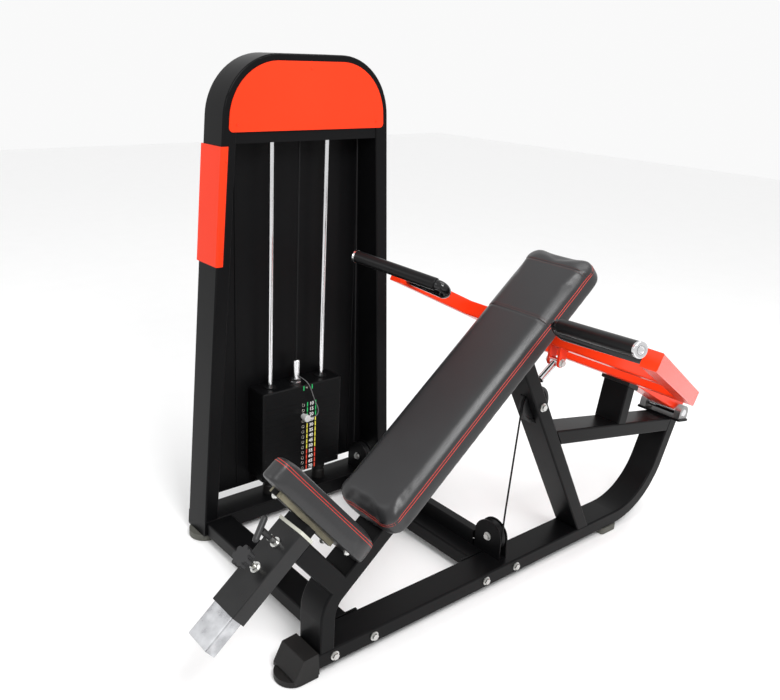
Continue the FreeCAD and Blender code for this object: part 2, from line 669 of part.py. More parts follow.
def tower_feet():
    """Half-round rubber feet under both ends of the tower's floor beam."""
    feet = []
    for side in (-1, 1):
        y = TOWER_Y + side * (TOWER_FOOT_HALF - 34)
        disc = Part.makeCylinder(TOWER_D / 2 - 4, FLOOR_GAP, V(TOWER_X, y, 0))
        block = box(TOWER_BACK + 4, TOWER_FRONT - 4, min(y, y - side * 40), max(y, y - side * 40),
                    0, FLOOR_GAP)
        foot = disc.fuse(block).removeSplitter()
        feet.append(foot.makeChamfer(3.0, [e for e in foot.Edges if e.BoundBox.ZMax < 0.01]))
    return feet


ROD_TOP = TOP_PULLEY_Z - PULLEY_R - 14


def guide_rods():
    """Two ground rods from the floor beam to the bar under the top pulleys."""
    return [rod(V(STACK_X, y, BASE_TOP - 18), V(STACK_X, y, ROD_TOP), ROD_R) for y in rod_places()]


def rod_bar():
    """Flat bar between the tower's legs that holds the rods' upper ends, with holes for the cable."""
    span = tower_outline(STACK_X - 22, TOWER_FACE).extrude(V(44, 0, 0))
    bar = span.common(box(TOWER_BACK, TOWER_FRONT, 0, 2000, ROD_TOP - ROD_BAR_T, ROD_TOP))
    holes = [(y, ROD_R + SHAFT_FIT) for y in rod_places()]
    holes += [(TOWER_Y, CABLE_R + 9), (TOP_REAR.y + GROOVE_R + 3, CABLE_R + 9)]
    for y, radius in holes:
        bar = bar.cut(rod(V(STACK_X, y, ROD_TOP - 50), V(STACK_X, y, ROD_TOP + 50), radius))
    return bar


def stack_cushions():
    """Rubber cushions round the rods, on which the stack rests."""
    found = []
    for y in rod_places():
        stem = ring(V(STACK_X, y, BASE_TOP), V(STACK_X, y, STACK_LOW), 24.0, ROD_R + FIT)
        waist = Part.makeTorus(30, 9, V(STACK_X, y, (BASE_TOP + STACK_LOW) / 2))
        found.append(stem.cut(waist))
    return found


def plate_blank(z0, z1):
    """One plate with its two rod bores and the stem bore, rounded at the front corners."""
    back, front = STACK_X - STACK_BACK, STACK_X + STACK_D / 2
    blank = box(back, front, TOWER_Y - STACK_W / 2, TOWER_Y + STACK_W / 2, z0, z1)
    blank = blank.makeFillet(8.0, [e for e in blank.Edges if abs(e.Curve.Direction.z) > 0.9])
    for y in rod_places():
        blank = blank.cut(rod(V(STACK_X, y, z0 - 1), V(STACK_X, y, z1 + 1), ROD_R + 1.5))
    return blank.cut(rod(V(STACK_X, TOWER_Y, z0 - 1), V(STACK_X, TOWER_Y, z1 + 1), STEM_R + 1.5))


def weight_plate(index):
    """Plate number index from the top, with the slot that takes the selector pin."""
    z1 = STACK_LOW + (PLATES - index + 1) * PLATE_PITCH
    z0 = z1 - PLATE_PITCH + PLATE_GAP
    plate = plate_blank(z0, z1)
    mid = (z0 + z1) / 2
    bore = rod(V(STACK_X, TOWER_Y, mid), V(STACK_X + STACK_D, TOWER_Y, mid), PIN_R + 0.5)
    return plate.cut(bore)


PIN_R = 5.0
PIN_KNOB_R = 13.0
STACK_TOP = STACK_LOW + PLATES * PLATE_PITCH
PIN_Z = STACK_TOP - (PICKED - 0.5) * PLATE_PITCH + PLATE_GAP / 2


def top_plate():
    """Deep head block of the stack, chamfered along its upper edges."""
    block = plate_blank(STACK_TOP + PLATE_GAP, STACK_TOP + TOP_PLATE_H)
    top = [e for e in block.Edges if e.BoundBox.ZMin > STACK_TOP + TOP_PLATE_H - 0.1 and e.Length > 60]
    return block.makeChamfer(4.0, top)


def selector_stem():
    """Drilled stem that hangs from the cable through the plates."""
    z1 = STACK_TOP + TOP_PLATE_H
    low = STACK_LOW + 6
    stem = rod(V(STACK_X, TOWER_Y, low), V(STACK_X, TOWER_Y, z1 + STEM_UP - 30), STEM_R - 1.0)
    for index in range(1, PLATES + 1):
        z = STACK_TOP - (index - 0.5) * PLATE_PITCH + PLATE_GAP / 2
        stem = stem.cut(rod(V(STACK_X - 30, TOWER_Y, z), V(STACK_X + 30, TOWER_Y, z), PIN_R + 0.5))
    nut = hex_bolt(V(STACK_X, TOWER_Y, z1), V(0, 0, 1), radius=17.0, head=12.0, washer=22.0)
    sleeve = rod(V(STACK_X, TOWER_Y, z1 + 14), V(STACK_X, TOWER_Y, z1 + STEM_UP), STEM_R + 2)
    sleeve = sleeve.makeChamfer(2.0, [e for e in sleeve.Edges if e.BoundBox.ZMin > z1 + STEM_UP - 0.1])
    return stem.fuse(nut).fuse(sleeve)


def guide_bushes():
    """Flanged bushes in the head block, running on the rods."""
    found = []
    z1 = STACK_TOP + TOP_PLATE_H
    for y in rod_places():
        flange = ring(V(STACK_X, y, z1), V(STACK_X, y, z1 + 4), 22.0, ROD_R + SHAFT_FIT)
        barrel = ring(V(STACK_X, y, STACK_TOP + 2), V(STACK_X, y, z1), ROD_R + 1.4, ROD_R + SHAFT_FIT)
        found.append(flange.fuse(barrel))
    return found


def selector_pin():
    """Chrome pin with a round knob and a cross handle."""
    x1 = STACK_X + STACK_D / 2
    a = V(STACK_X - 10, TOWER_Y, PIN_Z)
    shank = rod(a, V(x1 + 22, TOWER_Y, PIN_Z), PIN_R)
    knob = rod(V(x1 + FIT, TOWER_Y, PIN_Z), V(x1 + 14, TOWER_Y, PIN_Z), 10.0)
    head = rod(V(x1 + 14, TOWER_Y, PIN_Z), V(x1 + 32, TOWER_Y, PIN_Z), PIN_KNOB_R)
    head = head.makeFillet(3.0, [e for e in head.Edges if e.BoundBox.XMin > x1 + 31])
    wing = rod(V(x1 + 20, TOWER_Y + 30, PIN_Z - 9), V(x1 + 20, TOWER_Y, PIN_Z), 5.0)
    return shank.fuse(knob).fuse(head).fuse(wing)


# ---- bench -----------------------------------------------------------------------------
def rounded_pad(x_half, s0, s1, n0, n1, corner, edge):
    """Plain cushion with round corners in plan and soft edges."""
    pad = slope_box(-x_half, x_half, s0, s1, n0, n1)
    normal = slope(0, 0, 1)
    pad = round_edges(pad, normal, corner)
    rim = [e for e in pad.Edges if abs(slope_up(e.CenterOfMass) - n1) < 0.6]
    return pad.makeFillet(edge, rim)


def slope_up(point):
    """Unit vector up the bench's slope."""
    return -point.y * SIN + point.z * COS


def back_pad():
    """Firm back cushion with rounded plan corners and a soft upper rim."""
    low = SPINE_N + TUBE_H / 2 + PAD_GAP
    return rounded_pad(PAD_HALF, PAD_LOW, PAD_LOW + PAD_LONG, low, low + PAD_THICK, 55.0, 24.0)


def pad_plates():
    """Steel cross plates between the spine and the back pad, with their screws."""
    low = SPINE_N + TUBE_H / 2
    found = []
    for s in (PAD_LOW + 110, PAD_LOW + 720):
        plate = slope_box(-95, 95, s, s + 60, low, low + PAD_GAP)
        found.append(round_edges(plate, slope(0, 0, 1), 8.0))
    return found


SEAT_LOW = SLEEVE_TOP + BUSH_TALL + POST_CLEAR + SEAT_PLATE


def seat_pad():
    """Saddle-shaped seat cushion: narrow round nose in front, wide behind."""
    s0 = SEAT_LOW
    nose, rear = SEAT_NOSE_HALF, SEAT_REAR_HALF
    outline = [slope(-nose, s0, SEAT_FRONT), slope(nose, s0, SEAT_FRONT),
               slope(rear, s0, SEAT_REAR), slope(-rear, s0, SEAT_REAR)]
    pad = prism(outline, slope(0, SEAT_THICK, 0))
    rise = [e for e in pad.Edges if abs(abs(e.Curve.Direction.dot(slope(0, 1, 0))) - 1) < 1e-6]
    aft = [e for e in rise if slope_up(e.CenterOfMass) < SEAT_REAR + 5]
    pad = round_two(pad, aft)
    rim = [e for e in pad.Edges if abs(along_slope(e.CenterOfMass) - s0 - SEAT_THICK) < 0.6]
    return pad.makeFillet(16.0, rim)


def along_slope(point):
    """Bar of an outline carried along the bench's slope."""
    return point.y * COS + point.z * SIN


def round_two(pad, aft):
    """Round the rear corners, then the nose."""
    pad = pad.makeFillet(SEAT_REAR_R, aft)
    rise = [e for e in pad.Edges if isinstance(e.Curve, Part.Line)
            and abs(abs(e.Curve.Direction.dot(slope(0, 1, 0))) - 1) < 1e-6]
    fore = [e for e in rise if slope_up(e.CenterOfMass) > SEAT_FRONT - 5]
    return pad.makeFillet(SEAT_NOSE_HALF - 2, fore)


def seat_plates():
    """Zinc-plated bar under the seat, with the post welded to it."""
    s1 = SEAT_LOW
    plate = slope_box(-SEAT_PLATE_W / 2, SEAT_PLATE_W / 2, s1 - SEAT_PLATE, s1, 222, 486)
    return round_edges(plate, slope(0, 1, 0), 6.0)


def seat_bolts():
    """Round-headed bolts into the seat's board, two through the bar and two at the rear corners."""
    found = []
    for x, n, s1 in ((0, 478, SEAT_LOW - SEAT_PLATE), (0, 240, SEAT_LOW - SEAT_PLATE),
                     (-88, 236, SEAT_LOW), (88, 236, SEAT_LOW)):
        at = slope(x, s1, n)
        head = Part.makeSphere(9.0, at).common(rod(at, slope(x, s1 - 9, n), 12.0))
        found.append(head)
    return found


def seat_post():
    """Rectangular chrome tube that slides in the sleeve, drilled for the pull pin."""
    gap = SLEEVE_WALL + FIT + 0.7
    x = TUBE_W / 2 - gap
    n1 = SLEEVE_FRONT - gap
    n0 = SLEEVE_FRONT - TUBE_H + gap
    s1 = SEAT_LOW - SEAT_PLATE
    post = slope_box(-x, x, s1 - POST_LONG, s1, n0, n1)
    post = round_edges(post, slope(0, 1, 0), 5.0)
    hollow = slope_box(-x + POST_WALL, x - POST_WALL, s1 - POST_LONG - 1, s1 - 6, n0 + POST_WALL,
                       n1 - POST_WALL)
    post = post.cut(hollow)
    for k in range(6):
        s = SLEEVE_TOP - PIN_ALONG - k * HOLE_PITCH
        post = post.cut(rod(slope(0, s, n1 - 6), slope(0, s, n1 + 6), 6.0))
    return post


def seat_sleeve():
    """Square sleeve that holds the seat post, open at both ends."""
    s0 = SLEEVE_TOP - SLEEVE_LONG
    outer = slope_box(-TUBE_W / 2, TUBE_W / 2, s0, SLEEVE_TOP, SLEEVE_FRONT - TUBE_H, SLEEVE_FRONT)
    outer = round_edges(outer, slope(0, 1, 0), 3.0)
    w = SLEEVE_WALL
    inner = slope_box(-TUBE_W / 2 + w, TUBE_W / 2 - w, s0 - 1, SLEEVE_TOP + 1,
                      SLEEVE_FRONT - TUBE_H + w, SLEEVE_FRONT - w)
    sleeve = outer.cut(inner)
    for along, radius in ((PIN_ALONG, 9.0), (KNOB_ALONG, 6.0)):
        s = SLEEVE_TOP - along
        sleeve = sleeve.cut(rod(slope(0, s, SLEEVE_FRONT - 10), slope(0, s, SLEEVE_FRONT + 10),
                                radius + SHAFT_FIT))
    return sleeve


def sleeve_bush():
    """Plastic collar on the sleeve's mouth."""
    g = SLEEVE_WALL + 0.4
    outer = slope_box(-TUBE_W / 2 - 2, TUBE_W / 2 + 2, SLEEVE_TOP, SLEEVE_TOP + BUSH_TALL,
                      SLEEVE_FRONT - TUBE_H - 2, SLEEVE_FRONT + 2)
    outer = round_edges(outer, slope(0, 1, 0), 4.0)
    inner = slope_box(-TUBE_W / 2 + g, TUBE_W / 2 - g, SLEEVE_TOP - 1, SLEEVE_TOP + BUSH_TALL + 1,
                      SLEEVE_FRONT - TUBE_H + g, SLEEVE_FRONT - g)
    return outer.cut(inner)


def seat_arm():
    """Short tube that carries the sleeve on the front of the spine."""
    arm = slope_box(-TUBE_W / 2, TUBE_W / 2, SLEEVE_TOP - 60, SLEEVE_TOP,
                    SPINE_N + TUBE_H / 2 - 12, SLEEVE_FRONT - TUBE_H)
    arm = round_edges(arm, slope(0, 0, 1), TUBE_R)
    return arm.cut(spine())


def pull_pin():
    """Spring pin with a T handle turned a little, drawn back just clear of the seat post."""
    s = SLEEVE_TOP - PIN_ALONG
    n = SLEEVE_FRONT
    shank = rod(slope(0, s, n - 4.5), slope(0, s, n + 60), 5.5)
    ferrule = ring(slope(0, s, n + 31), slope(0, s, n + 44), 8.0, 5.4)
    neck = rod(slope(0, s, n + 44), slope(0, s, n + 68), 9.0)
    a = slope(-12, s + 26, n + 74)
    b = slope(12, s - 26, n + 74)
    bar = rod(a, b, 8.5).fuse(Part.makeSphere(8.5, a)).fuse(Part.makeSphere(8.5, b))
    return shank.fuse(ferrule).fuse(neck).fuse(bar)


def pin_housing():
    """Threaded housing of the pull pin on the sleeve."""
    s = SLEEVE_TOP - PIN_ALONG
    n = SLEEVE_FRONT
    body = ring(slope(0, s, n - 4), slope(0, s, n + 30), 8.9, 5.6)
    flange = ring(slope(0, s, n), slope(0, s, n + 5), 14.0, 5.6)
    return body.fuse(flange)


def star_knob():
    """Seven-lobed clamp knob on a plated stud."""
    s = SLEEVE_TOP - KNOB_ALONG
    n = SLEEVE_FRONT
    head = rod(slope(0, s, n + 46), slope(0, s, n + 68), 22.0)
    for k in range(7):
        a = 2 * math.pi * k / 7
        x, t = 21.0 * math.cos(a), 21.0 * math.sin(a)
        head = head.fuse(rod(slope(x, s + t, n + 46), slope(x, s + t, n + 68), 7.5))
    head = head.fuse(rod(slope(0, s, n + 38), slope(0, s, n + 46), 12.0))
    return head.fuse(rod(slope(0, s, n - SLEEVE_WALL - 0.2), slope(0, s, n + 40), 6.0 - SHAFT_FIT))


def knob_nut():
    """Nut welded on the sleeve for the clamp knob's stud."""
    s = SLEEVE_TOP - KNOB_ALONG
    nut = hex_bolt(slope(0, s, SLEEVE_FRONT), slope(0, 0, 1), radius=10.0, head=9.0, washer=15.0)
    return nut.cut(rod(slope(0, s, SLEEVE_FRONT - 20), slope(0, s, SLEEVE_FRONT + 30), 6.0))


# ---- press arm -------------------------------------------------------------------------
def arm_axes():
    """Run, upward and sideways directions of the right side arm."""
    s, t = math.radians(ARM_SLOPE), math.radians(ARM_TOE)
    run = V(-math.sin(t) * math.cos(s), math.cos(t) * math.cos(s), -math.sin(s))
    side = V(1, 0, 0)
    up = V(0, math.sin(s), math.cos(s))
    return run, up, side


ARM_TIP = ARM_REAR - arm_axes()[0] * ARM_LONG
HANDLE_OUT = ARM_TIP + HANDLE_OUT_OFF
HANDLE_IN = ARM_TIP + HANDLE_IN_OFF
FRONT_TUBE_AT = ARM_LONG - FRONT_TUBE_BACK
REAR_TUBE_AT = ARM_LONG - REAR_TUBE_BACK


def arm_point(x_off, along, up_off):
    """Point on the near side arm: along its run from the tip, moved along X and square to it."""
    run, up = arm_axes()[:2]
    p = ARM_TIP + run * along + up * up_off
    return V(p.x + x_off, p.y, p.z)


def d_slope():
    """Fall of the arms' common underside per unit of Y."""
    run = arm_axes()[0]
    return -run.z / run.y


def arm_up(height):
    """Vector square to the arms' common plane."""
    k = d_slope()
    size = math.sqrt(1 + k * k)
    return V(0, k / size, 1 / size) * height


def side_arm(extra=0.0):
    """Square tube, cut across at both ends, that converges towards the pivot."""
    run = arm_axes()[0]
    half = ARM_W / 2 / math.cos(math.radians(ARM_TOE)) * 0.96
    a = V(ARM_TIP.x - half, ARM_TIP.y, ARM_TIP.z)
    b = V(ARM_TIP.x + half, ARM_TIP.y, ARM_TIP.z)
    lift = arm_up(ARM_W)
    bar = prism([a, b, b + lift, a + lift], run * (ARM_LONG + extra))
    return round_edges(bar, run, 4.0)


def cross_tube(along, depth, height):
    """Tube between the two side arms, flush with their undersides."""
    run = arm_axes()[0]
    p0 = ARM_TIP + run * along
    p1 = ARM_TIP + run * (along + depth / (run.y ** 2 + run.z ** 2) ** 0.5)
    half = p0.x + 30
    lift = arm_up(height)
    a = V(-half, p0.y, p0.z)
    b = V(-half, p1.y, p1.z)
    bar = prism([a, b, b + lift, a + lift], V(2 * half, 0, 0))
    bar = round_edges(bar, V(1, 0, 0), 4.0)
    for arm in both_sides(side_arm(300.0)):
        bar = bar.cut(arm)
    return max(bar.Solids, key=lambda s: s.Volume)


def centre_arm():
    """Wide tube from the rear cross tube down to the pivot shaft, notched round the shaft."""
    fall = math.radians(CENTRE_SLOPE)
    run = V(0, math.cos(fall), -math.sin(fall))
    up = V(0, math.sin(fall), math.cos(fall))
    base = V(-TUBE_W / 2, PIVOT_Y, PIVOT_Z) + up * CENTRE_OFF
    far = base + run * 30.0
    near = base - run * 420.0
    bar = prism([near, far, far + up * CENTRE_H, near + up * CENTRE_H], V(TUBE_W, 0, 0))
    bar = round_edges(bar, run, TUBE_R)
    rear = cross_tube(REAR_TUBE_AT, ARM_W, REAR_TUBE_H)
    run_arm = arm_axes()[0]
    edge = ARM_TIP + run_arm * (REAR_TUBE_AT + ARM_W / (run_arm.y ** 2 + run_arm.z ** 2) ** 0.5)
    ahead = box(-200, 200, 0, edge.y, 0, 2000)
    ahead.rotate(V(0, edge.y, edge.z), V(1, 0, 0), -math.degrees(math.atan(d_slope())))
    bar = bar.cut(ahead).cut(rear)
    bar = bar.cut(rod(V(-100, PIVOT_Y, PIVOT_Z), V(100, PIVOT_Y, PIVOT_Z), SHAFT_R))
    return max(bar.Solids, key=lambda s: s.Volume)


def pivot_shaft():
    """Ground shaft through the centre arm and both bearing blocks."""
    shaft = rod(V(-SHAFT_HALF, PIVOT_Y, PIVOT_Z), V(SHAFT_HALF, PIVOT_Y, PIVOT_Z), SHAFT_R)
    return shaft.makeChamfer(2.0, [e for e in shaft.Edges if isinstance(e.Curve, Part.Circle)])


def bearing_blocks():
    """Round-headed bearing blocks, square to the pivot plate."""
    found = []
    low = PIVOT_PLATE_T
    for side in (-1, 1):
        x0 = side * BLOCK_X - BLOCK_T / 2
        head = Part.makeCylinder(SHAFT_R + 12, BLOCK_T, V(x0, PIVOT_Y, PIVOT_Z), V(1, 0, 0))
        a = PIVOT_ALONG
        foot = beam_box(x0, x0 + BLOCK_T, a - 27, a + 27, low, low + 20)
        block = head.fuse(foot)
        block = block.cut(beam_box(-200, 200, a - 90, a + 90, low - 60, low))
        found.append(block.cut(rod(V(-200, PIVOT_Y, PIVOT_Z), V(200, PIVOT_Y, PIVOT_Z),
                                   SHAFT_R + SHAFT_FIT)))
    return found


FALL = math.radians(BEAM_FALL)
PIVOT_ALONG = (PIVOT_Y - BEAM_Y) * math.cos(FALL) - (PIVOT_Z - BEAM_Z) * math.sin(FALL)


def pivot_plate():
    """Thick plate across the top of the rear upright."""
    a = PIVOT_ALONG
    plate = beam_box(-BLOCK_X - 17, BLOCK_X + 17, a - 32, a + 32, 0, PIVOT_PLATE_T)
    return round_edges(plate, beam_frame(0, 0, 1) - beam_frame(0, 0, 0), 5.0)


def link_ears():
    """Two lugs under the front cross tube that hold the link's bolt."""
    start = arm_point(0, FRONT_TUBE_AT, 0)
    found = []
    for s in (-1, 1):
        x0 = CABLE_X + s * (EAR_GAP / 2) - (EAR_T if s < 0 else 0)
        p0 = V(x0, start.y + 3, start.z - 3 * d_slope())
        p1 = V(x0, start.y + 43, start.z - 43 * d_slope())
        lug = V(x0, LUG.y, LUG.z)
        plate = prism([p0, p1, V(x0, LUG.y + 17, LUG.z + 3), V(x0, LUG.y - 15, LUG.z - 4)],
                      V(EAR_T, 0, 0))
        plate = plate.fuse(rod(lug, lug + V(EAR_T, 0, 0), 16.0))
        found.append(plate.cut(rod(V(x0 - 1, LUG.y, LUG.z), V(x0 + EAR_T + 1, LUG.y, LUG.z), AXLE_R)))
    return found


def link_direction():
    """Unit vector from the link's bolt to where the cable leaves the strut pulley."""
    dy = LUG.y - STRUT_PULLEY.y
    dz = LUG.z - STRUT_PULLEY.z
    far = math.hypot(dy, dz)
    base = math.atan2(dz, dy)
    turn = math.acos(STRUT_GROOVE_R / far)
    a = base + turn
    touch = V(CABLE_X, STRUT_PULLEY.y + STRUT_GROOVE_R * math.cos(a),
              STRUT_PULLEY.z + STRUT_GROOVE_R * math.sin(a))
    return (touch - LUG).normalize(), touch, a


def cable_link():
    """Plated adjuster body with an eye, on the bolt between the lugs."""
    d = link_direction()[0]
    eye = rod(LUG - V(EAR_GAP / 2 - 1, 0, 0), LUG + V(EAR_GAP / 2 - 1, 0, 0), 13.0)
    barrel = rod(LUG + d * 6, LUG + d * LINK_LONG, LINK_R)
    body = eye.fuse(barrel)
    body = body.cut(rod(LUG - V(40, 0, 0), LUG + V(40, 0, 0), AXLE_R + SHAFT_FIT))
    collar = rod(LUG + d * LINK_LONG, LUG + d * (LINK_LONG + 6), LINK_R + 2)
    return body.fuse(collar)


def link_bolt():
    """Bolt through both lugs and the cable link's eye."""
    return pulley_bolt(LUG, V(1, 0, 0), EAR_GAP / 2 + EAR_T)


def handle():
    """Hairpin of round tube: grip above, return leg welded to the side arm below."""
    out = (HANDLE_OUT - HANDLE_IN).normalize()
    weld = arm_point(-ARM_W / 2 + 4, 34.0, ARM_W / 2)
    turn = math.radians(HANDLE_LEAN)
    low_in = HANDLE_IN + V(0, math.cos(turn), -math.sin(turn)) * (2 * HANDLE_BEND_R)
    a = HANDLE_IN
    across = (low_in - a)
    r = across.Length / 2
    middle = a + across * 0.5 - out * r
    upper = Part.LineSegment(HANDLE_OUT, a).toShape()
    bend = Part.Arc(a, middle, low_in).toShape()
    path = Part.Wire([upper, bend])
    ring_face = Part.Wire([Part.makeCircle(TUBE_HANDLE_R, HANDLE_OUT, out)])
    tube = path.makePipeShell([ring_face], True, True)
    leg = rod(low_in, weld, TUBE_HANDLE_R)
    joint = Part.makeSphere(TUBE_HANDLE_R, low_in)
    tube = tube.fuse(leg).fuse(joint)
    return tube.cut(side_arm())


def grip():
    """Rubber sleeve over the upper leg of the handle."""
    out = (HANDLE_OUT - HANDLE_IN).normalize()
    sleeve = ring(HANDLE_IN + out * 4, HANDLE_OUT, GRIP_R, TUBE_HANDLE_R)
    inner_rim = [e for e in sleeve.Edges if isinstance(e.Curve, Part.Circle)
                 and e.Curve.Radius > GRIP_R - 1 and (e.Curve.Center - HANDLE_IN).Length < 10]
    return sleeve.makeFillet(3.0, inner_rim)


def grip_cap():
    """Plated end cap of the grip."""
    out = (HANDLE_OUT - HANDLE_IN).normalize()
    disc = rod(HANDLE_OUT, HANDLE_OUT + out * 9, GRIP_R + 0.5)
    rims = [e for e in disc.Edges if isinstance(e.Curve, Part.Circle)
            and (e.Curve.Center - HANDLE_OUT).Length > 5]
    disc = disc.makeFillet(3.0, rims)
    return disc.cut(rod(HANDLE_OUT + out * 6, HANDLE_OUT + out * 10, 12.0))


# ---- cable -----------------------------------------------------------------------------
def turn_about(centre, axis, start, degrees):
    """Point start turned about a pulley's axis."""
    return centre + FreeCAD.Rotation(V(axis), degrees).multVec(start - centre)


class Route:
    """Centre line made of straight runs and arcs round pulleys."""

    def __init__(self, start):
        self.at = start
        self.edges = []

    def line(self, end):
        self.edges.append(Part.LineSegment(self.at, end).toShape())
        self.at = end

    def soft_corner(self, corner, onward, trim):
        """Run to a corner that an arc tangent to both runs rounds off."""
        into = (corner - self.at).normalize()
        out = V(onward).normalize()
        turn = into.getAngle(out)
        radius = trim / math.tan(turn / 2)
        a = corner - into * trim
        b = corner + out * trim
        bisector = (out - into).normalize()
        middle = corner + bisector * (radius / math.cos(turn / 2) - radius)
        self.line(a)
        self.edges.append(Part.Arc(a, middle, b).toShape())
        self.at = b

    def wrap(self, centre, axis, degrees):
        middle = turn_about(centre, axis, self.at, degrees / 2)
        end = turn_about(centre, axis, self.at, degrees)
        self.edges.append(Part.Arc(self.at, middle, end).toShape())
        self.at = end


CABLE_BLEND = 70.0        # the cable leaves a floor pulley square, then leans this much higher up


def rail_touch():
    """Where the cable leaves the rail pulley."""
    return V(CABLE_X, CABLE_Y, RAIL_PULLEY.z + CABLE_BLEND)


def strut_touch():
    """Where the rising cable meets the strut pulley's groove, and its angle."""
    p = rail_touch()
    dy = p.y - STRUT_PULLEY.y
    dz = p.z - STRUT_PULLEY.z
    far = math.hypot(dy, dz)
    a = math.atan2(dz, dy) - math.acos(STRUT_GROOVE_R / far)
    return V(CABLE_X, STRUT_PULLEY.y + STRUT_GROOVE_R * math.cos(a),
             STRUT_PULLEY.z + STRUT_GROOVE_R * math.sin(a)), a


TOP_REAR = V(STACK_X, TOWER_Y + TOP_REAR_BACK, TOP_PULLEY_Z)
TOP_FRONT = V(STACK_X, TOWER_Y + GROOVE_R, TOP_PULLEY_Z)


def main_cable():
    """Cable from above the stack, over the top pulleys, down, along and up to the strut pulley."""
    lift = V(0, 0, GROOVE_R)
    turn_in = V(STACK_X, CABLE_Y, TOWER_PULLEY.z)
    lean_end = turn_in + V(0, 0, CABLE_BLEND)
    away = lean_end - TOP_REAR
    tilt = math.atan2(away.z, away.y) + math.acos(GROOVE_R / away.Length)
    route = Route(V(STACK_X, TOWER_Y, TOP_PULLEY_Z))
    route.wrap(TOP_FRONT, V(1, 0, 0), -90)
    route.line(TOP_REAR + lift)
    route.wrap(TOP_REAR, V(1, 0, 0), math.degrees(tilt) - 90)
    route.soft_corner(lean_end, V(0, 0, -1), CABLE_BLEND * 0.8)
    route.line(turn_in)
    route.wrap(TOWER_PULLEY, V(0, 1, 0), -90)
    route.line(V(RAIL_PULLEY.x, CABLE_Y, CABLE_Z))
    route.wrap(RAIL_PULLEY, V(0, 1, 0), -90)
    touch, a = strut_touch()
    route.soft_corner(rail_touch(), touch - rail_touch(), CABLE_BLEND * 0.8)
    route.line(touch)
    b = link_direction()[2]
    route.wrap(STRUT_PULLEY, V(1, 0, 0), -(math.degrees(a - b) % 360))
    path = Part.Wire(route.edges)
    section = Part.Wire([Part.makeCircle(CABLE_R, V(STACK_X, TOWER_Y, TOP_PULLEY_Z), V(0, 0, 1))])
    return path.makePipeShell([section], True, True)


def stack_cable():
    """Last stretch of the cable, from the top pulley down to the stem."""
    return rod(V(STACK_X, TOWER_Y, STACK_TOP + TOP_PLATE_H + STEM_UP),
               V(STACK_X, TOWER_Y, TOP_PULLEY_Z), CABLE_R)


def link_cable():
    """First stretch of the cable, from the strut pulley to the link."""
    d, touch = link_direction()[:2]
    return rod(touch, LUG + d * (LINK_LONG + 6), CABLE_R)


def top_bracket():
    """Hanger plates for the two top pulleys, narrowing to the tower's head tube."""
    gap = PULLEY_W / 2 + 2
    top = TOWER_TOP - TOWER_FACE
    low = TOP_PULLEY_Z - 16
    y0, y1, y2 = TOP_FRONT.y - 30, TOP_REAR.y + 30, TOWER_Y + 112
    walls = []
    for x in (STACK_X - gap - CHEEK_T, STACK_X + gap):
        outline = [V(x, y0, low), V(x, y1, low), V(x, y1, low + 36), V(x, y2, top), V(x, y0, top)]
        walls.append(prism(outline, V(CHEEK_T, 0, 0)))
    found = walls[0].fuse(walls[1]).fuse(box(STACK_X - gap, STACK_X + gap, y0, y2, top - 4, top))
    for c in (TOP_FRONT, TOP_REAR):
        found = found.cut(rod(c - V(60, 0, 0), c + V(60, 0, 0), AXLE_R))
    return found


LANYARD_R = 1.6


def lanyard_points():
    """Route of the cord from the stem's foot to the selector pin's knob, sagging in front of the stack."""
    x = STACK_X + STACK_D / 2
    z1 = STACK_TOP + TOP_PLATE_H
    points = [V(STACK_X + STEM_R + 2.3, TOWER_Y - 2, z1 + 26)]
    points.append(V(x - 7, TOWER_Y + 3, z1 + 25))
    points.append(V(x + 21, TOWER_Y + 13, z1 + 5))
    points.append(V(x + 26, TOWER_Y + 31, z1 - 55))
    points.append(V(x + 28, TOWER_Y + 50, z1 - 92))
    points.append(V(x + 29, TOWER_Y + 41, PIN_Z - 3))
    points.append(V(x + 24, TOWER_Y + PIN_KNOB_R + LANYARD_R + FIT, PIN_Z + 1))
    return points


def lanyard():
    """Thin cord along its route: straight runs joined by arcs."""
    points = lanyard_points()
    edges = []
    start = points[0]
    for k in range(1, len(points) - 1):
        before = (points[k] - points[k - 1])
        after = (points[k + 1] - points[k])
        turn = before.getAngle(after)
        trim = 0.45 * min(before.Length, after.Length)
        radius = trim / math.tan(turn / 2)
        d0, d1 = V(before).normalize(), V(after).normalize()
        a = points[k] - d0 * trim
        b = points[k] + d1 * trim
        bisector = (d1 - d0).normalize()
        centre = points[k] + bisector * (radius / math.cos(turn / 2))
        middle = centre - bisector * radius
        edges.append(Part.LineSegment(start, a).toShape())
        edges.append(Part.Arc(a, middle, b).toShape())
        start = b
    edges.append(Part.LineSegment(start, points[-1]).toShape())
    path = Part.Wire(edges)
    section = Part.Wire([Part.makeCircle(LANYARD_R, points[0], points[1] - points[0])])
    return path.makePipeShell([section], True, True)


# ---- whole machine ---------------------------------------------------------------------
def write_frame():
    save("rail", rail())
    save("front_boot", boot())
    save("spine", spine())
    save("strut", strut())
    save("top_beam", top_beam())
    save("stop_post", stop_post())
    save("stop_bumper", stop_bumper())
    save("crossbeams", [crossbeam(CROSS_FRONT), crossbeam(CROSS_REAR)])
    save("cable_channel", cable_channel())
    save("rubber_feet", [rear_foot()] + tower_feet())
    save("frame_bolts", bolts() + pulley_bolts())
    save("pulley_brackets",
         [floor_pulley_bracket(RAIL_PULLEY, RAIL_TOP),
          floor_pulley_bracket(TOWER_PULLEY, BASE_TOP), top_bracket()])
    save("pivot_plate", pivot_plate())
    save("bearing_blocks", bearing_blocks())


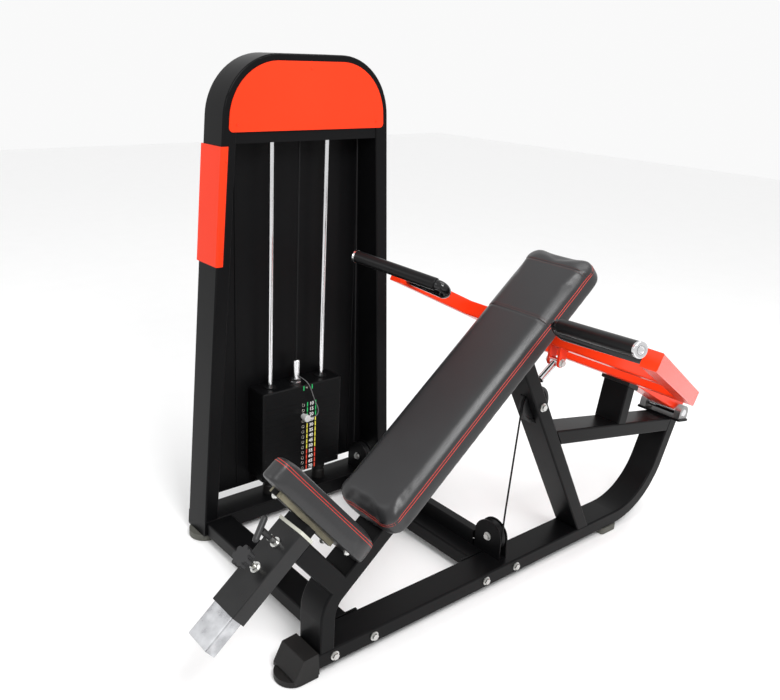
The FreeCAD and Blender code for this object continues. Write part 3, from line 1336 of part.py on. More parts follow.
def pulley_bolts():
    half = PULLEY_W / 2 + 2 + CHEEK_T
    found = [pulley_bolt(c, V(0, -1, 0), half) for c in (RAIL_PULLEY, TOWER_PULLEY)]
    found += [pulley_bolt(c, V(1, 0, 0), half) for c in (TOP_FRONT, TOP_REAR)]
    found.append(pulley_bolt(V(0, STRUT_PULLEY.y, STRUT_PULLEY.z), V(1, 0, 0), TUBE_W / 2))
    return found


def write_tower():
    save("tower_frame", tower_frame())
    save("tower_base", tower_base())
    save("header_panel", header_panel())
    save("header_plate", header_plate())
    save("side_plate", side_plate())
    save("rear_panel", rear_panel())
    save("guide_rods", guide_rods())
    save("rod_bar", rod_bar())
    save("stack_cushions", stack_cushions())
    save("resting_plates", [weight_plate(k) for k in range(PICKED + 1, PLATES + 1)])


def write_stack():
    save("lifted_plates", [weight_plate(k) for k in range(1, PICKED + 1)])
    save("top_plate", top_plate())
    save("guide_bushes", guide_bushes())
    save("selector_stem", selector_stem())
    save("selector_pin", selector_pin())
    save("pin_lanyard", lanyard())


def write_cable():
    save("rail_pulley", pulley(RAIL_PULLEY, V(0, 1, 0), PULLEY_R, GROOVE_R))
    save("tower_pulley", pulley(TOWER_PULLEY, V(0, 1, 0), PULLEY_R, GROOVE_R))
    save("top_pulley_front", pulley(TOP_FRONT, V(1, 0, 0), PULLEY_R, GROOVE_R))
    save("top_pulley_rear", pulley(TOP_REAR, V(1, 0, 0), PULLEY_R, GROOVE_R))
    save("strut_pulley", pulley(STRUT_PULLEY, V(1, 0, 0), STRUT_PULLEY_R, STRUT_GROOVE_R))
    save("main_cable", main_cable())
    save("stack_cable", stack_cable())
    save("link_cable", link_cable())
    save("cable_link", cable_link())


def write_bench():
    save("back_pad", back_pad())
    save("pad_plates", pad_plates())
    save("seat_pad", seat_pad())
    save("seat_plates", seat_plates())
    save("seat_bolts", seat_bolts())
    save("seat_post", seat_post())
    save("seat_sleeve", seat_sleeve())
    save("sleeve_bush", sleeve_bush())
    save("seat_arm", seat_arm())
    save("sleeve_nuts", [pin_housing(), knob_nut()])
    save("pull_pin", pull_pin())
    save("star_knob", star_knob())


def write_arm():
    save("side_arms", both_sides(side_arm()))
    front = cross_tube(FRONT_TUBE_AT, ARM_W, ARM_W)
    save("cross_tubes", [front, cross_tube(REAR_TUBE_AT, ARM_W, REAR_TUBE_H)])
    save("centre_arm", centre_arm())
    save("pivot_shaft", pivot_shaft())
    save("link_ears", link_ears())
    save("link_bolt", link_bolt())
    save("handles", both_sides(handle()))
    save("grips", both_sides(grip()))
    save("grip_caps", both_sides(grip_cap()))


write_frame()
write_tower()
write_stack()
write_cable()
write_bench()
write_arm()
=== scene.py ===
import bpy
import numpy as np
from mathutils import Matrix, Vector
from mathutils.bvhtree import BVHTree


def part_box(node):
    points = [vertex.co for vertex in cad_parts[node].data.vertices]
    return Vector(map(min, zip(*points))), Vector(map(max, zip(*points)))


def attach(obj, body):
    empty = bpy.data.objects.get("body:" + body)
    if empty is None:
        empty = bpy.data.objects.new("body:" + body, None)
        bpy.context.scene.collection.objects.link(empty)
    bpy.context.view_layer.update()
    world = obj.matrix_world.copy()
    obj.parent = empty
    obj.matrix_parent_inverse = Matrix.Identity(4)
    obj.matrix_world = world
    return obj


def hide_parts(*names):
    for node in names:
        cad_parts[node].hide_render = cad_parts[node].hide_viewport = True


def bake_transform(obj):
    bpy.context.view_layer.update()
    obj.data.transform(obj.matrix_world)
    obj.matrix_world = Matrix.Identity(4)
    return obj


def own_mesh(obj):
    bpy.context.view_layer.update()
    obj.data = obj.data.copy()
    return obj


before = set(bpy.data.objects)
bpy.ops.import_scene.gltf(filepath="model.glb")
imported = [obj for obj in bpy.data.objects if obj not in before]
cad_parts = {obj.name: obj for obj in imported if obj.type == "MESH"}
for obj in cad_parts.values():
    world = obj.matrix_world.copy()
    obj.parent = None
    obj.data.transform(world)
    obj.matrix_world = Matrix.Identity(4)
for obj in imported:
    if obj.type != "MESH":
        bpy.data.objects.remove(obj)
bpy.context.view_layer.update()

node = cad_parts


# ---- camera ----------------------------------------------------------------------------
# A person standing a step in front of the bench's free side sees the whole machine from
# here: a normal lens, a little above head height, turned towards the tower.
YAW, PITCH, ROLL = np.radians([51.67, 18.69, 2.11])
back = np.array([np.sin(YAW) * np.cos(PITCH), -np.cos(YAW) * np.cos(PITCH), np.sin(PITCH)])
level = np.array([np.cos(YAW), np.sin(YAW), 0.0])
right = level * np.cos(ROLL) + np.cross(back, level) * np.sin(ROLL)
lens = bpy.data.cameras.new("camera")
lens.sensor_width = 36.0
lens.lens = 38.805
lens.shift_x = 0.0556
lens.shift_y = -0.0198
camera = bpy.data.objects.new("camera", lens)
placed = np.eye(4)
placed[:3, 0], placed[:3, 1], placed[:3, 2] = right, np.cross(back, right), back
placed[:3, 3] = (1.5534, -1.0700, 1.6345)
camera.matrix_world = Matrix(placed.tolist())
bpy.context.scene.collection.objects.link(camera)
bpy.context.scene.camera = camera


# ---- selector pin's cord ---------------------------------------------------------------
# A limp rubber-coated cord that keeps the selector pin with the stack. It leaves a clip on
# the stem's sleeve, hangs in front of the plates and ends in the pin's knob.
CORD_THICK = 0.0032
cord_route = [(-0.7572, 0.5395, 0.5205), (-0.7280, 0.5445, 0.5195), (-0.7000, 0.5545, 0.4995),
              (-0.6950, 0.5725, 0.4395), (-0.6930, 0.5915, 0.4025), (-0.6920, 0.5825, 0.37325),
              (-0.6970, 0.5564, 0.37725)]


def coat(name, dark, light, rough, patch=6.0, spread=0.06, grain=700.0, height=0.00004, **sockets):
    """Node finish on Object coordinates: a slow noise slides colour and gloss between two
    values, and a fine noise lifts the skin by height metres."""
    made = bpy.data.materials.new(name)
    made.use_nodes = True
    tree = made.node_tree
    skin = tree.nodes["Principled BSDF"]
    where = tree.nodes.new("ShaderNodeTexCoord")
    slow = tree.nodes.new("ShaderNodeTexNoise")
    slow.inputs["Scale"].default_value = patch
    slow.inputs["Detail"].default_value = 5.0
    fine = tree.nodes.new("ShaderNodeTexNoise")
    fine.inputs["Scale"].default_value = grain
    fine.inputs["Detail"].default_value = 2.0
    tint = tree.nodes.new("ShaderNodeMix")
    tint.data_type = "RGBA"
    tint.inputs["A"].default_value = (*dark, 1.0)
    tint.inputs["B"].default_value = (*light, 1.0)
    gloss = tree.nodes.new("ShaderNodeMapRange")
    gloss.inputs["To Min"].default_value = rough - spread
    gloss.inputs["To Max"].default_value = rough + spread
    relief = tree.nodes.new("ShaderNodeBump")
    relief.inputs["Distance"].default_value = height
    relief.inputs["Strength"].default_value = 1.0
    for noise in (slow, fine):
        tree.links.new(where.outputs["Object"], noise.inputs["Vector"])
    tree.links.new(slow.outputs["Fac"], tint.inputs["Factor"])
    tree.links.new(slow.outputs["Fac"], gloss.inputs["Value"])
    tree.links.new(fine.outputs["Fac"], relief.inputs["Height"])
    tree.links.new(tint.outputs["Result"], skin.inputs["Base Color"])
    tree.links.new(gloss.outputs["Result"], skin.inputs["Roughness"])
    tree.links.new(relief.outputs["Normal"], skin.inputs["Normal"])
    for socket, value in sockets.items():
        skin.inputs[socket.replace("_", " ")].default_value = value
    return made


def wear(material, *names):
    """Gives CAD pieces their finish."""
    for name in names:
        node[name].data.materials.clear()
        node[name].data.materials.append(material)


curve = bpy.data.curves.new("selector_cord", "CURVE")
curve.dimensions = "3D"
curve.bevel_depth = CORD_THICK / 2
curve.bevel_resolution = 4
curve.use_fill_caps = True
spline = curve.splines.new("NURBS")
spline.points.add(len(cord_route) - 1)
spline.points.foreach_set("co", [v for point in cord_route for v in (*point, 1.0)])
spline.order_u = 3
spline.use_endpoint_u = True
spline.resolution_u = 16
cord_rubber = coat("cord_rubber", (0.085, 0.085, 0.088), (0.120, 0.120, 0.124), 0.45, grain=900.0)
curve.materials.append(cord_rubber)
selector_cord = bpy.data.objects.new("selector_cord", curve)
bpy.context.scene.collection.objects.link(selector_cord)
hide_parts("pin_lanyard")
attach(selector_cord, "stack")


# ---- floor and light -------------------------------------------------------------------
# A plain pale studio floor under an even white sky, and three large soft lamps: one beside
# the bench's free side, one in front of the tower, one overhead.
bpy.context.scene.view_settings.view_transform = "Standard"


def sheet_mesh(name, points, faces, material=None, smooth=True):
    """Object at the origin from point and face arrays."""
    mesh = bpy.data.meshes.new(name)
    mesh.from_pydata(np.asarray(points, float).reshape(-1, 3).tolist(), [], faces)
    if smooth:
        mesh.shade_smooth()
    if material:
        mesh.materials.append(material)
    made = bpy.data.objects.new(name, mesh)
    bpy.context.scene.collection.objects.link(made)
    return made


FLOOR_REACH = 12.0
corner = FLOOR_REACH * np.array([[-1, -1, 0], [1, -1, 0], [1, 1, 0], [-1, 1, 0]])
floor_paint = coat("pale_floor", (0.93, 0.93, 0.93), (0.96, 0.96, 0.96), 0.6)
sheet_mesh("floor", corner, [(0, 1, 2, 3)], floor_paint)
sky = bpy.data.worlds.new("studio")
sky.use_nodes = True
sky.node_tree.nodes["Background"].inputs["Color"].default_value = (1.0, 1.0, 1.0, 1.0)
sky.node_tree.nodes["Background"].inputs["Strength"].default_value = 0.95
bpy.context.scene.world = sky
LAMPS = [("bench_lamp", (1.9, -0.2, 3.0), (0.0, 0.6, 0.6), 1.1, 78.0),
         ("tower_lamp", (-1.6, -2.6, 2.6), (-0.5, 0.6, 0.7), 1.6, 18.0),
         ("top_lamp", (0.3, 1.4, 3.4), (0.0, 0.8, 0.6), 1.6, 30.0)]
for name, place, aim, size, power in LAMPS:
    lamp = bpy.data.lights.new(name, "AREA")
    lamp.size = size
    lamp.energy = power
    holder = bpy.data.objects.new(name, lamp)
    holder.location = place
    holder.rotation_euler = (Vector(place) - Vector(aim)).to_track_quat("Z", "Y").to_euler()
    bpy.context.scene.collection.objects.link(holder)


# ---- painted frame ---------------------------------------------------------------------
# Rail, spine, strut, top beam, crossbeams and tower are welded from 100 by 50 steel tube and
# powder coated satin black, with the fine orange peel of baked powder.
frame_black = coat("frame_powder", (0.0024, 0.0024, 0.0027), (0.0042, 0.0042, 0.0046), 0.36, patch=4.0,
                   grain=420.0, height=0.00005, Specular_IOR_Level=0.09)
wear(frame_black, "rail", "spine", "strut", "top_beam", "stop_post", "crossbeams", "pivot_plate", "seat_arm",
     "pad_plates", "pulley_brackets", "tower_frame", "tower_base", "rod_bar")


# ---- sheet metal of the tower ----------------------------------------------------------
# Rear panel, header sheet and cable cover are folded 2 mm steel with a finer, flatter
# black powder coat that shows long soft waves where the sheet isn't stiffened.
sheet_black = coat("sheet_powder", (0.0024, 0.0024, 0.0028), (0.0044, 0.0044, 0.0048), 0.42, patch=2.5,
                   grain=600.0, height=0.00003, Specular_IOR_Level=0.10)
wear(sheet_black, "rear_panel", "header_panel", "cable_channel")


# ---- coloured plates -------------------------------------------------------------------
# Header plate and side plate are laser-cut 3 mm steel, powder coated orange-red, gloss, and
# screwed on; their faces are bare.
plate_orange = coat("orange_powder", (0.744, 0.031, 0.005), (0.800, 0.039, 0.008), 0.34, patch=3.0, spread=0.04,
                    grain=380.0, height=0.00003, Specular_IOR_Level=0.15)
wear(plate_orange, "header_plate", "side_plate")


# ---- press arm -------------------------------------------------------------------------
# Side arms, cross tubes, centre arm and link ears are one welding of square tube in the
# same orange-red gloss powder coat.
arm_orange = coat("arm_powder", (0.725, 0.029, 0.005), (0.800, 0.039, 0.008), 0.24, patch=5.0, spread=0.05,
                  grain=420.0, height=0.00004, Specular_IOR_Level=0.20)
wear(arm_orange, "side_arms", "cross_tubes", "centre_arm", "link_ears")


# ---- handles and grips -----------------------------------------------------------------
# Bent round tube in gloss black, foam-rubber grips with a fine pimple, plated end caps.
handle_black = coat("handle_gloss", (0.0035, 0.0035, 0.0040), (0.0060, 0.0060, 0.0065), 0.16, patch=9.0,
                    grain=500.0, height=0.00003, Specular_IOR_Level=0.35)
grip_rubber = coat("grip_rubber", (0.0030, 0.0030, 0.0034), (0.0060, 0.0060, 0.0064), 0.30, patch=30.0,
                   grain=1500.0, height=0.00005, Specular_IOR_Level=0.17)
cap_plate = coat("cap_plating", (0.62, 0.62, 0.63), (0.74, 0.74, 0.75), 0.20, patch=60.0, grain=1800.0,
                 height=0.00001, Metallic=1.0)
wear(handle_black, "handles")
wear(grip_rubber, "grips")
wear(cap_plate, "grip_caps")


# ---- plugs in the grip caps ------------------------------------------------------------
# Each plated cap is a ring with a domed plug pressed into its middle, a fine groove between.
CAP_FACE = np.array([0.53556, 0.60347, 1.00112])
CAP_OUT = np.array([0.9516, -0.2812, 0.1243])


def turned(profile, foot, out, sides=28):
    """Round body: profile rows of (radius, height) turned about the axis out through foot;
    points are foot + height * out + radius * (cos a * u + sin a * v)."""
    out = out / np.linalg.norm(out)
    u = np.cross(out, [0.0, 0.0, 1.0] if abs(out[2]) < 0.9 else [1.0, 0.0, 0.0])
    u = u / np.linalg.norm(u)
    v = np.cross(out, u)
    radius, height = np.asarray(profile, float).T[:, :, None, None]
    a = np.linspace(0, 2 * np.pi, sides, endpoint=False)[None, :, None]
    return foot + height * out + radius * (np.cos(a) * u + np.sin(a) * v)


def turned_row(name, profile, feet, out, material, body, sides=28):
    """Copies of one turned body, joined: both ends of the profile are closed."""
    feet = np.asarray(feet, float)
    one = turned(profile, np.zeros(3), np.asarray(out, float), sides)
    rows = len(profile)
    at = np.arange(rows * sides).reshape(rows, sides)
    side = np.roll(at, -1, 1)
    quads = np.stack([at[:-1], side[:-1], side[1:], at[1:]], -1).reshape(-1, 4).tolist()
    ends = [at[0][::-1].tolist(), at[-1].tolist()]
    points = feet[:, None, None] + one[None]
    faces = [[v + k * rows * sides for v in face] for k in range(len(feet)) for face in quads + ends]
    made = sheet_mesh(name, points, faces, material)
    made.data.set_sharp_from_angle(angle=np.radians(35))
    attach(made, body)
    return made


plug = [(0.0110, -0.0030), (0.0110, 0.0002), (0.0104, 0.0012), (0.0085, 0.0018), (0.0072, 0.0014),
        (0.0066, 0.0007), (0.0050, 0.0009), (0.0025, 0.0014), (0.0004, 0.0016)]
mirror = np.array([-1.0, 1.0, 1.0])
for side, hand in (("right", np.ones(3)), ("left", mirror)):
    turned_row("cap_plug_%s" % side, plug, [CAP_FACE * hand], CAP_OUT * hand, cap_plate, "press_arm")


# ---- bright steel ----------------------------------------------------------------------
# Guide rods, stem, pivot shaft and the cable's link are turned or drawn steel, ground along
# their length and hard chromed. The selector pin is nickel plated, which is duller.
def plated(name, along, rough, dark=(0.60, 0.60, 0.61), light=(0.78, 0.78, 0.79)):
    """Chrome with hair-fine drawing lines: a noise squeezed across the axis along."""
    made = coat(name, dark, light, rough, patch=14.0, spread=0.05, grain=300.0, height=0.000006, Metallic=1.0)
    tree = made.node_tree
    where = tree.nodes["Texture Coordinate"]
    squeeze = tree.nodes.new("ShaderNodeMapping")
    squeeze.inputs["Scale"].default_value = [0.04 if axis == along else 4.0 for axis in "xyz"]
    for noise in [n for n in tree.nodes if n.bl_idname == "ShaderNodeTexNoise"][1:]:
        tree.links.new(squeeze.outputs["Vector"], noise.inputs["Vector"])
    tree.links.new(where.outputs["Object"], squeeze.inputs["Vector"])
    return made


rod_chrome = plated("rod_chrome", "z", 0.16)
wear(rod_chrome, "guide_rods", "selector_stem")
link_chrome = plated("link_chrome", "y", 0.14)
wear(link_chrome, "cable_link")
shaft_chrome = plated("shaft_chrome", "x", 0.18)
wear(shaft_chrome, "pivot_shaft")
pin_nickel = coat("pin_nickel", (0.62, 0.62, 0.62), (0.80, 0.80, 0.80), 0.36, patch=90.0, grain=1600.0,
                  height=0.00002, Metallic=0.45)
wear(pin_nickel, "selector_pin")


# ---- seat post and its sleeve ----------------------------------------------------------
# The post is galvanised square tube whose tone varies in slow patches from dark grey to bright;
# its upper end, welded to the seat, is coloured black: a painted reflection of the dark seat
# underside and floor that the bare steel would mirror. The sleeve is frame tube in the same black, rubbed a little
# glossier by hands.
# Distance along the slope beyond which the post is coloured black, as a painted reflection of the dark seat underside
# and floor.
POST_REFLECTION_BORDER = 0.300
SLANT = np.radians(39.6)
ALONG = np.array([0.0, np.cos(SLANT), np.sin(SLANT)])
post_steel = coat("post_steel", (0.10, 0.10, 0.11), (0.74, 0.75, 0.77), 0.28, patch=24.0, spread=0.16,
                  grain=160.0, height=0.00003, Metallic=1.0)
sleeve_black = coat("sleeve_powder", (0.0045, 0.0045, 0.0048), (0.0120, 0.0120, 0.0125), 0.30, patch=14.0,
                    spread=0.08, grain=240.0, height=0.00012, Specular_IOR_Level=0.26)
wear(sleeve_black, "seat_sleeve")


# ---- clamp knob ------------------------------------------------------------------------
# Seven-lobed knob moulded over a zinc-plated stud: black plastic outside, bright thread
# between the knob and the sleeve.
OFF = np.array([0.0, -np.sin(SLANT), np.cos(SLANT)])
KNOB_FOOT = 0.4082


def two_part(name, first, second, along, border):
    """Two finishes on one piece: the second's colours and gloss beyond border along a direction."""
    made = first.copy()
    made.name = name
    tree = made.node_tree
    way = tree.nodes.new("ShaderNodeVectorMath")
    way.operation = "DOT_PRODUCT"
    way.inputs[1].default_value = along.tolist()
    beyond = tree.nodes.new("ShaderNodeMath")
    beyond.operation = "GREATER_THAN"
    beyond.inputs[1].default_value = border
    other = tree.nodes.new("ShaderNodeBsdfPrincipled")
    source = second.node_tree.nodes
    other.inputs["Base Color"].default_value = source["Mix"].inputs["A"].default_value
    other.inputs["Roughness"].default_value = source["Map Range"].inputs["To Max"].default_value
    for socket in ("Metallic", "Specular IOR Level"):
        other.inputs[socket].default_value = source["Principled BSDF"].inputs[socket].default_value
    tree.links.new(tree.nodes["Bump"].outputs["Normal"], other.inputs["Normal"])
    both = tree.nodes.new("ShaderNodeMixShader")
    tree.links.new(tree.nodes["Texture Coordinate"].outputs["Object"], way.inputs[0])
    tree.links.new(way.outputs["Value"], beyond.inputs[0])
    tree.links.new(beyond.outputs["Value"], both.inputs["Fac"])
    tree.links.new(tree.nodes["Principled BSDF"].outputs["BSDF"], both.inputs[1])
    tree.links.new(other.outputs["BSDF"], both.inputs[2])
    tree.links.new(both.outputs["Shader"], tree.nodes["Material Output"].inputs["Surface"])
    return made


stud_zinc = coat("stud_zinc", (0.56, 0.55, 0.50), (0.74, 0.73, 0.68), 0.26, patch=90.0, grain=1800.0,
                 height=0.00003, Metallic=1.0)
knob_plastic = coat("knob_plastic", (0.012, 0.012, 0.013), (0.024, 0.024, 0.025), 0.46, patch=40.0,
                    grain=1300.0, height=0.00006, Specular_IOR_Level=0.4)
wear(two_part("clamp_knob", stud_zinc, knob_plastic, OFF, KNOB_FOOT), "star_knob")
# Beyond the border along the slope the post is black: a painted reflection of the dark seat underside and floor.
wear(two_part("post_painted_reflection", post_steel, frame_black, ALONG, POST_REFLECTION_BORDER), "seat_post")
wear(knob_plastic, "pull_pin")


# ---- fasteners and blocks --------------------------------------------------------------
# Hexagon bolts with washers are zinc plated; the bar under the seat is zinc plated with a
# yellowish passivation; the bearing blocks are machined aluminium castings, coloured a dark
# mid grey as painted shade, the shade that falls on the inner block.
bolt_zinc = coat("bolt_zinc", (0.50, 0.50, 0.49), (0.66, 0.66, 0.64), 0.32, patch=80.0, spread=0.10,
                 grain=2200.0, height=0.00002, Metallic=1.0)
wear(bolt_zinc, "frame_bolts", "seat_bolts", "sleeve_nuts", "link_bolt")
bar_zinc = coat("bar_passivate", (0.105, 0.098, 0.068), (0.25, 0.23, 0.165), 0.36, patch=30.0, spread=0.10,
                grain=1400.0, height=0.00002, Metallic=0.9)
wear(bar_zinc, "seat_plates")
# Aluminium darkened to a mid grey: painted shade standing in for the shade on the inner block.
alloy_painted_shade = coat("alloy_painted_shade", (0.248, 0.248, 0.248), (0.330, 0.330, 0.330), 0.36, patch=40.0, spread=0.08,
                   grain=1600.0, height=0.00003, Metallic=1.0)
wear(alloy_painted_shade, "bearing_blocks")


# ---- weight stack ----------------------------------------------------------------------
# Cast iron plates with ground faces under thin black enamel; the cast skin still shows as a
# small pebble. Guide bushes are black nylon.
plate_iron = coat("plate_enamel", (0.0022, 0.0022, 0.0025), (0.0042, 0.0042, 0.0046), 0.38, patch=18.0,
                  grain=260.0, height=0.00012, Specular_IOR_Level=0.11)
wear(plate_iron, "resting_plates", "lifted_plates", "top_plate")


# ---- rubber and plastic ----------------------------------------------------------------
# Feet, boot and bumpers are moulded rubber; pulleys and bushes are turned or moulded nylon.
# The tower's and rail's feet have greyed with dust.
foot_rubber = coat("foot_rubber", (0.060, 0.060, 0.052), (0.110, 0.110, 0.094), 0.62, patch=24.0, grain=500.0,
                   height=0.00015, Specular_IOR_Level=0.3)
wear(foot_rubber, "rubber_feet")
boot_rubber = coat("boot_rubber", (0.0060, 0.0055, 0.0055), (0.0120, 0.0112, 0.0108), 0.52, patch=16.0,
                   grain=420.0, height=0.00015, Specular_IOR_Level=0.22)
wear(boot_rubber, "front_boot", "stop_bumper", "stack_cushions")
pulley_nylon = coat("pulley_nylon", (0.0045, 0.0045, 0.0050), (0.0085, 0.0085, 0.0090), 0.34, patch=50.0,
                    grain=900.0, height=0.00004, Specular_IOR_Level=0.28)
wear(pulley_nylon, "rail_pulley", "tower_pulley", "top_pulley_front", "top_pulley_rear", "strut_pulley",
     "guide_bushes")
bush_nylon = coat("bush_nylon", (0.42, 0.42, 0.36), (0.56, 0.56, 0.49), 0.45, patch=30.0, grain=900.0,
                  height=0.00004)
wear(bush_nylon, "sleeve_bush")


# ---- cables ----------------------------------------------------------------------------
# Seven-strand steel cable, 6 mm with its black nylon jacket, whose tone and gloss vary
# slowly.
cable_jacket = coat("cable_jacket", (0.0050, 0.0050, 0.0053), (0.0090, 0.0090, 0.0095), 0.50, patch=60.0,
                    grain=1200.0, height=0.00005, Specular_IOR_Level=0.15)
wear(cable_jacket, "main_cable")


# ---- back cushion ----------------------------------------------------------------------
# Plywood board, firm foam and a black leatherette cover: a top panel with wide soft edges,
# a head panel sewn across it, and a side band with two rows of red stitching.
ACROSS = np.array([1.0, 0.0, 0.0])
BACK_HALF, BACK_LOW, BACK_LONG, BACK_BOARD, BACK_THICK = 0.130, 0.452, 1.001, 0.139, 0.074
SEAM_LOW, SEAM_HIGH = 1.192, 1.3865


def round_loop(corners, radii, count):
    """Closed outline: straight runs between corners, each corner replaced by an arc of its
    radius; count points at equal steps of arc length, and the outward normals there."""
    corners = np.asarray(corners, float)
    pieces = []
    for k, r in enumerate(radii):
        here, before, after = corners[k], corners[k - 1], corners[(k + 1) % len(corners)]
        d0 = (here - before) / np.linalg.norm(here - before)
        d1 = (after - here) / np.linalg.norm(after - here)
        turn = np.arccos(np.clip(d0 @ d1, -1, 1))
        side = np.sign(d0[0] * d1[1] - d0[1] * d1[0])
        centre = here - d0 * r * np.tan(turn / 2) + side * r * np.array([-d0[1], d0[0]])
        start = here - d0 * r * np.tan(turn / 2) - centre
        a = side * np.linspace(0, turn, 24)
        pieces.append(centre + np.stack([start[0] * np.cos(a) - start[1] * np.sin(a),
                                         start[0] * np.sin(a) + start[1] * np.cos(a)], 1))
    line = np.concatenate(pieces)
    line = np.concatenate([line, line[:1]])
    run = np.concatenate([[0], np.cumsum(np.linalg.norm(np.diff(line, axis=0), axis=1))])
    t = np.linspace(0, run[-1], count, endpoint=False)
    loop = np.stack([np.interp(t, run, line[:, 0]), np.interp(t, run, line[:, 1])], 1)
    step = np.roll(loop, -1, 0) - np.roll(loop, 1, 0)
    normal = np.stack([step[:, 1], -step[:, 0]], 1)
    return loop, normal / np.linalg.norm(normal, axis=1, keepdims=True)


def cushion_grid(loop, normal, spine, thick, edge, crown, rings=10):
    """Closed pad over a loop: up the side, a quarter circle of radius edge, then a low crown
    to the spine points, and flat underneath. Rows run from the underside's spine to the top's;
    returns loop coordinates and height."""
    quarter = np.linspace(0, np.pi / 2, 9)
    inset = np.concatenate([[0.004, 0.0, 0.0], edge * (1 - np.cos(quarter[1:]))])
    height = np.concatenate([[0.0, 0.004, thick - edge], thick - edge + edge * np.sin(quarter[1:])])
    wall = loop[None] - normal[None] * inset[:, None, None]
    share = np.linspace(0, 1, rings + 1)[1:, None, None]
    top = wall[-1][None] * (1 - share) + spine[None] * share
    low = wall[0][None] * (1 - share) + spine[None] * share
    crest = thick + crown * np.sin(share[:, 0, 0] * np.pi / 2)
    plan = np.concatenate([low[::-1], wall, top])
    up = np.concatenate([np.zeros(rings), height, crest])
    return plan, np.repeat(up[:, None], len(loop), 1)


def ring_faces(rows, count, first=0):
    """Quads of a grid whose rows are closed rings."""
    at = first + np.arange(rows * count).reshape(rows, count)
    side = np.roll(at, -1, 1)
    return np.stack([at[:-1], side[:-1], side[1:], at[1:]], -1).reshape(-1, 4).tolist()


def inflate(pad, board, cap, voxel, base):
    """Remeshes the pad, blows it up as cloth over its pinned underside, caps every point's
    travel, and writes the result back with one subdivision."""
    remesh = pad.modifiers.new("skin", "REMESH")
    remesh.mode = "VOXEL"
    remesh.voxel_size = voxel
    graph = bpy.context.evaluated_depsgraph_get()
    skin = bpy.data.meshes.new_from_object(pad.evaluated_get(graph))
    pad.modifiers.clear()
    pad.data = skin
    count = len(skin.vertices)
    rest = np.empty(count * 3)
    skin.vertices.foreach_get("co", rest)
    rest = rest.reshape(-1, 3)
    held = rest @ board < base + 0.010
    group = pad.vertex_groups.new(name="board")
    group.add(np.flatnonzero(held).tolist(), 1.0, "REPLACE")
    cloth = pad.modifiers.new("cloth", "CLOTH")
    cloth.settings.use_pressure = True
    cloth.settings.uniform_pressure_force = 4.0
    cloth.settings.effector_weights.gravity = 0.0
    cloth.settings.vertex_group_mass = "board"
    cloth.point_cache.frame_end = 20
    for step in range(1, 21):
        bpy.context.scene.frame_set(step)
    blown = np.empty(count * 3)
    pad.evaluated_get(bpy.context.evaluated_depsgraph_get()).data.vertices.foreach_get("co", blown)
    travel = blown.reshape(-1, 3) - rest
    far = np.maximum(np.linalg.norm(travel, axis=1, keepdims=True), 1e-9)
    rest = rest + travel * np.minimum(1.0, cap / far)
    pad.modifiers.clear()
    pad.vertex_groups.clear()
    bpy.context.scene.frame_set(1)
    skin.vertices.foreach_set("co", rest.ravel())
    smooth = pad.modifiers.new("smooth", "SMOOTH")
    smooth.iterations = 22
    finer = pad.modifiers.new("finer", "SUBSURF")
    finer.levels = finer.render_levels = 1
    done = bpy.data.meshes.new_from_object(pad.evaluated_get(bpy.context.evaluated_depsgraph_get()))
    pad.modifiers.clear()
    pad.data = done
    done.shade_smooth()
    return done


def leather(name):
    """Leatherette: rounded pebbles from a cell pattern with fine creases between, a slow
    change of gloss where it is stretched."""
    made = coat(name, (0.0125, 0.0125, 0.0133), (0.0200, 0.0200, 0.0212), 0.34, patch=7.0, spread=0.04,
                grain=520.0, height=0.00010, Specular_IOR_Level=0.42)
    tree = made.node_tree
    cells = tree.nodes.new("ShaderNodeTexVoronoi")
    cells.feature = "DISTANCE_TO_EDGE"
    cells.inputs["Scale"].default_value = 620.0
    crease = tree.nodes.new("ShaderNodeMapRange")
    crease.inputs["From Max"].default_value = 0.25
    both = tree.nodes.new("ShaderNodeMath")
    both.operation = "MULTIPLY"
    relief = tree.nodes["Bump"]
    fine = relief.inputs["Height"].links[0].from_node
    tree.links.new(tree.nodes["Texture Coordinate"].outputs["Object"], cells.inputs["Vector"])
    tree.links.new(cells.outputs["Distance"], crease.inputs["Value"])
    tree.links.new(crease.outputs["Result"], both.inputs[0])
    tree.links.new(fine.outputs["Fac"], both.inputs[1])
    tree.links.new(both.outputs["Value"], relief.inputs["Height"])
    return made


def in_space(plan, up, first_axis, second_axis, third_axis, base):
    """Plan coordinates along two axes and height along a third, from base."""
    return plan[..., :1] * first_axis + plan[..., 1:] * second_axis + up[..., None] * third_axis + base


leatherette = leather("leatherette")
SWELL = 0.005
SPINE_END = 0.13
box_corners = [(-BACK_HALF + SWELL, BACK_LOW + SWELL), (BACK_HALF - SWELL, BACK_LOW + SWELL),
               (BACK_HALF - SWELL, BACK_LOW + BACK_LONG - SWELL), (-BACK_HALF + SWELL, BACK_LOW + BACK_LONG - SWELL)]
loop, normal = round_loop(box_corners, [0.048] * 4, 240)
spine_line = np.stack([loop[:, 0] * 0, np.clip(loop[:, 1], BACK_LOW + SPINE_END, BACK_LOW + BACK_LONG - SPINE_END)], 1)
plan, up = cushion_grid(loop, normal, spine_line, BACK_THICK - SWELL, 0.022, 0.002)
points = in_space(plan, up, ACROSS, ALONG, OFF, OFF * BACK_BOARD)
back_cushion = sheet_mesh("back_cushion", points, ring_faces(len(plan), len(loop)))
skin = inflate(back_cushion, OFF, 0.008, 0.005, BACK_BOARD)
co = np.empty(len(skin.vertices) * 3)
skin.vertices.foreach_get("co", co)
co = co.reshape(-1, 3)
s, n = co @ ALONG, co @ OFF
upper = np.clip((n - BACK_BOARD - 0.030) / 0.02, 0, 1)
for seam in (SEAM_LOW, SEAM_HIGH):
    co -= OFF * (0.0016 * np.exp(-((s - seam) / 0.0035) ** 2) * upper)[:, None]
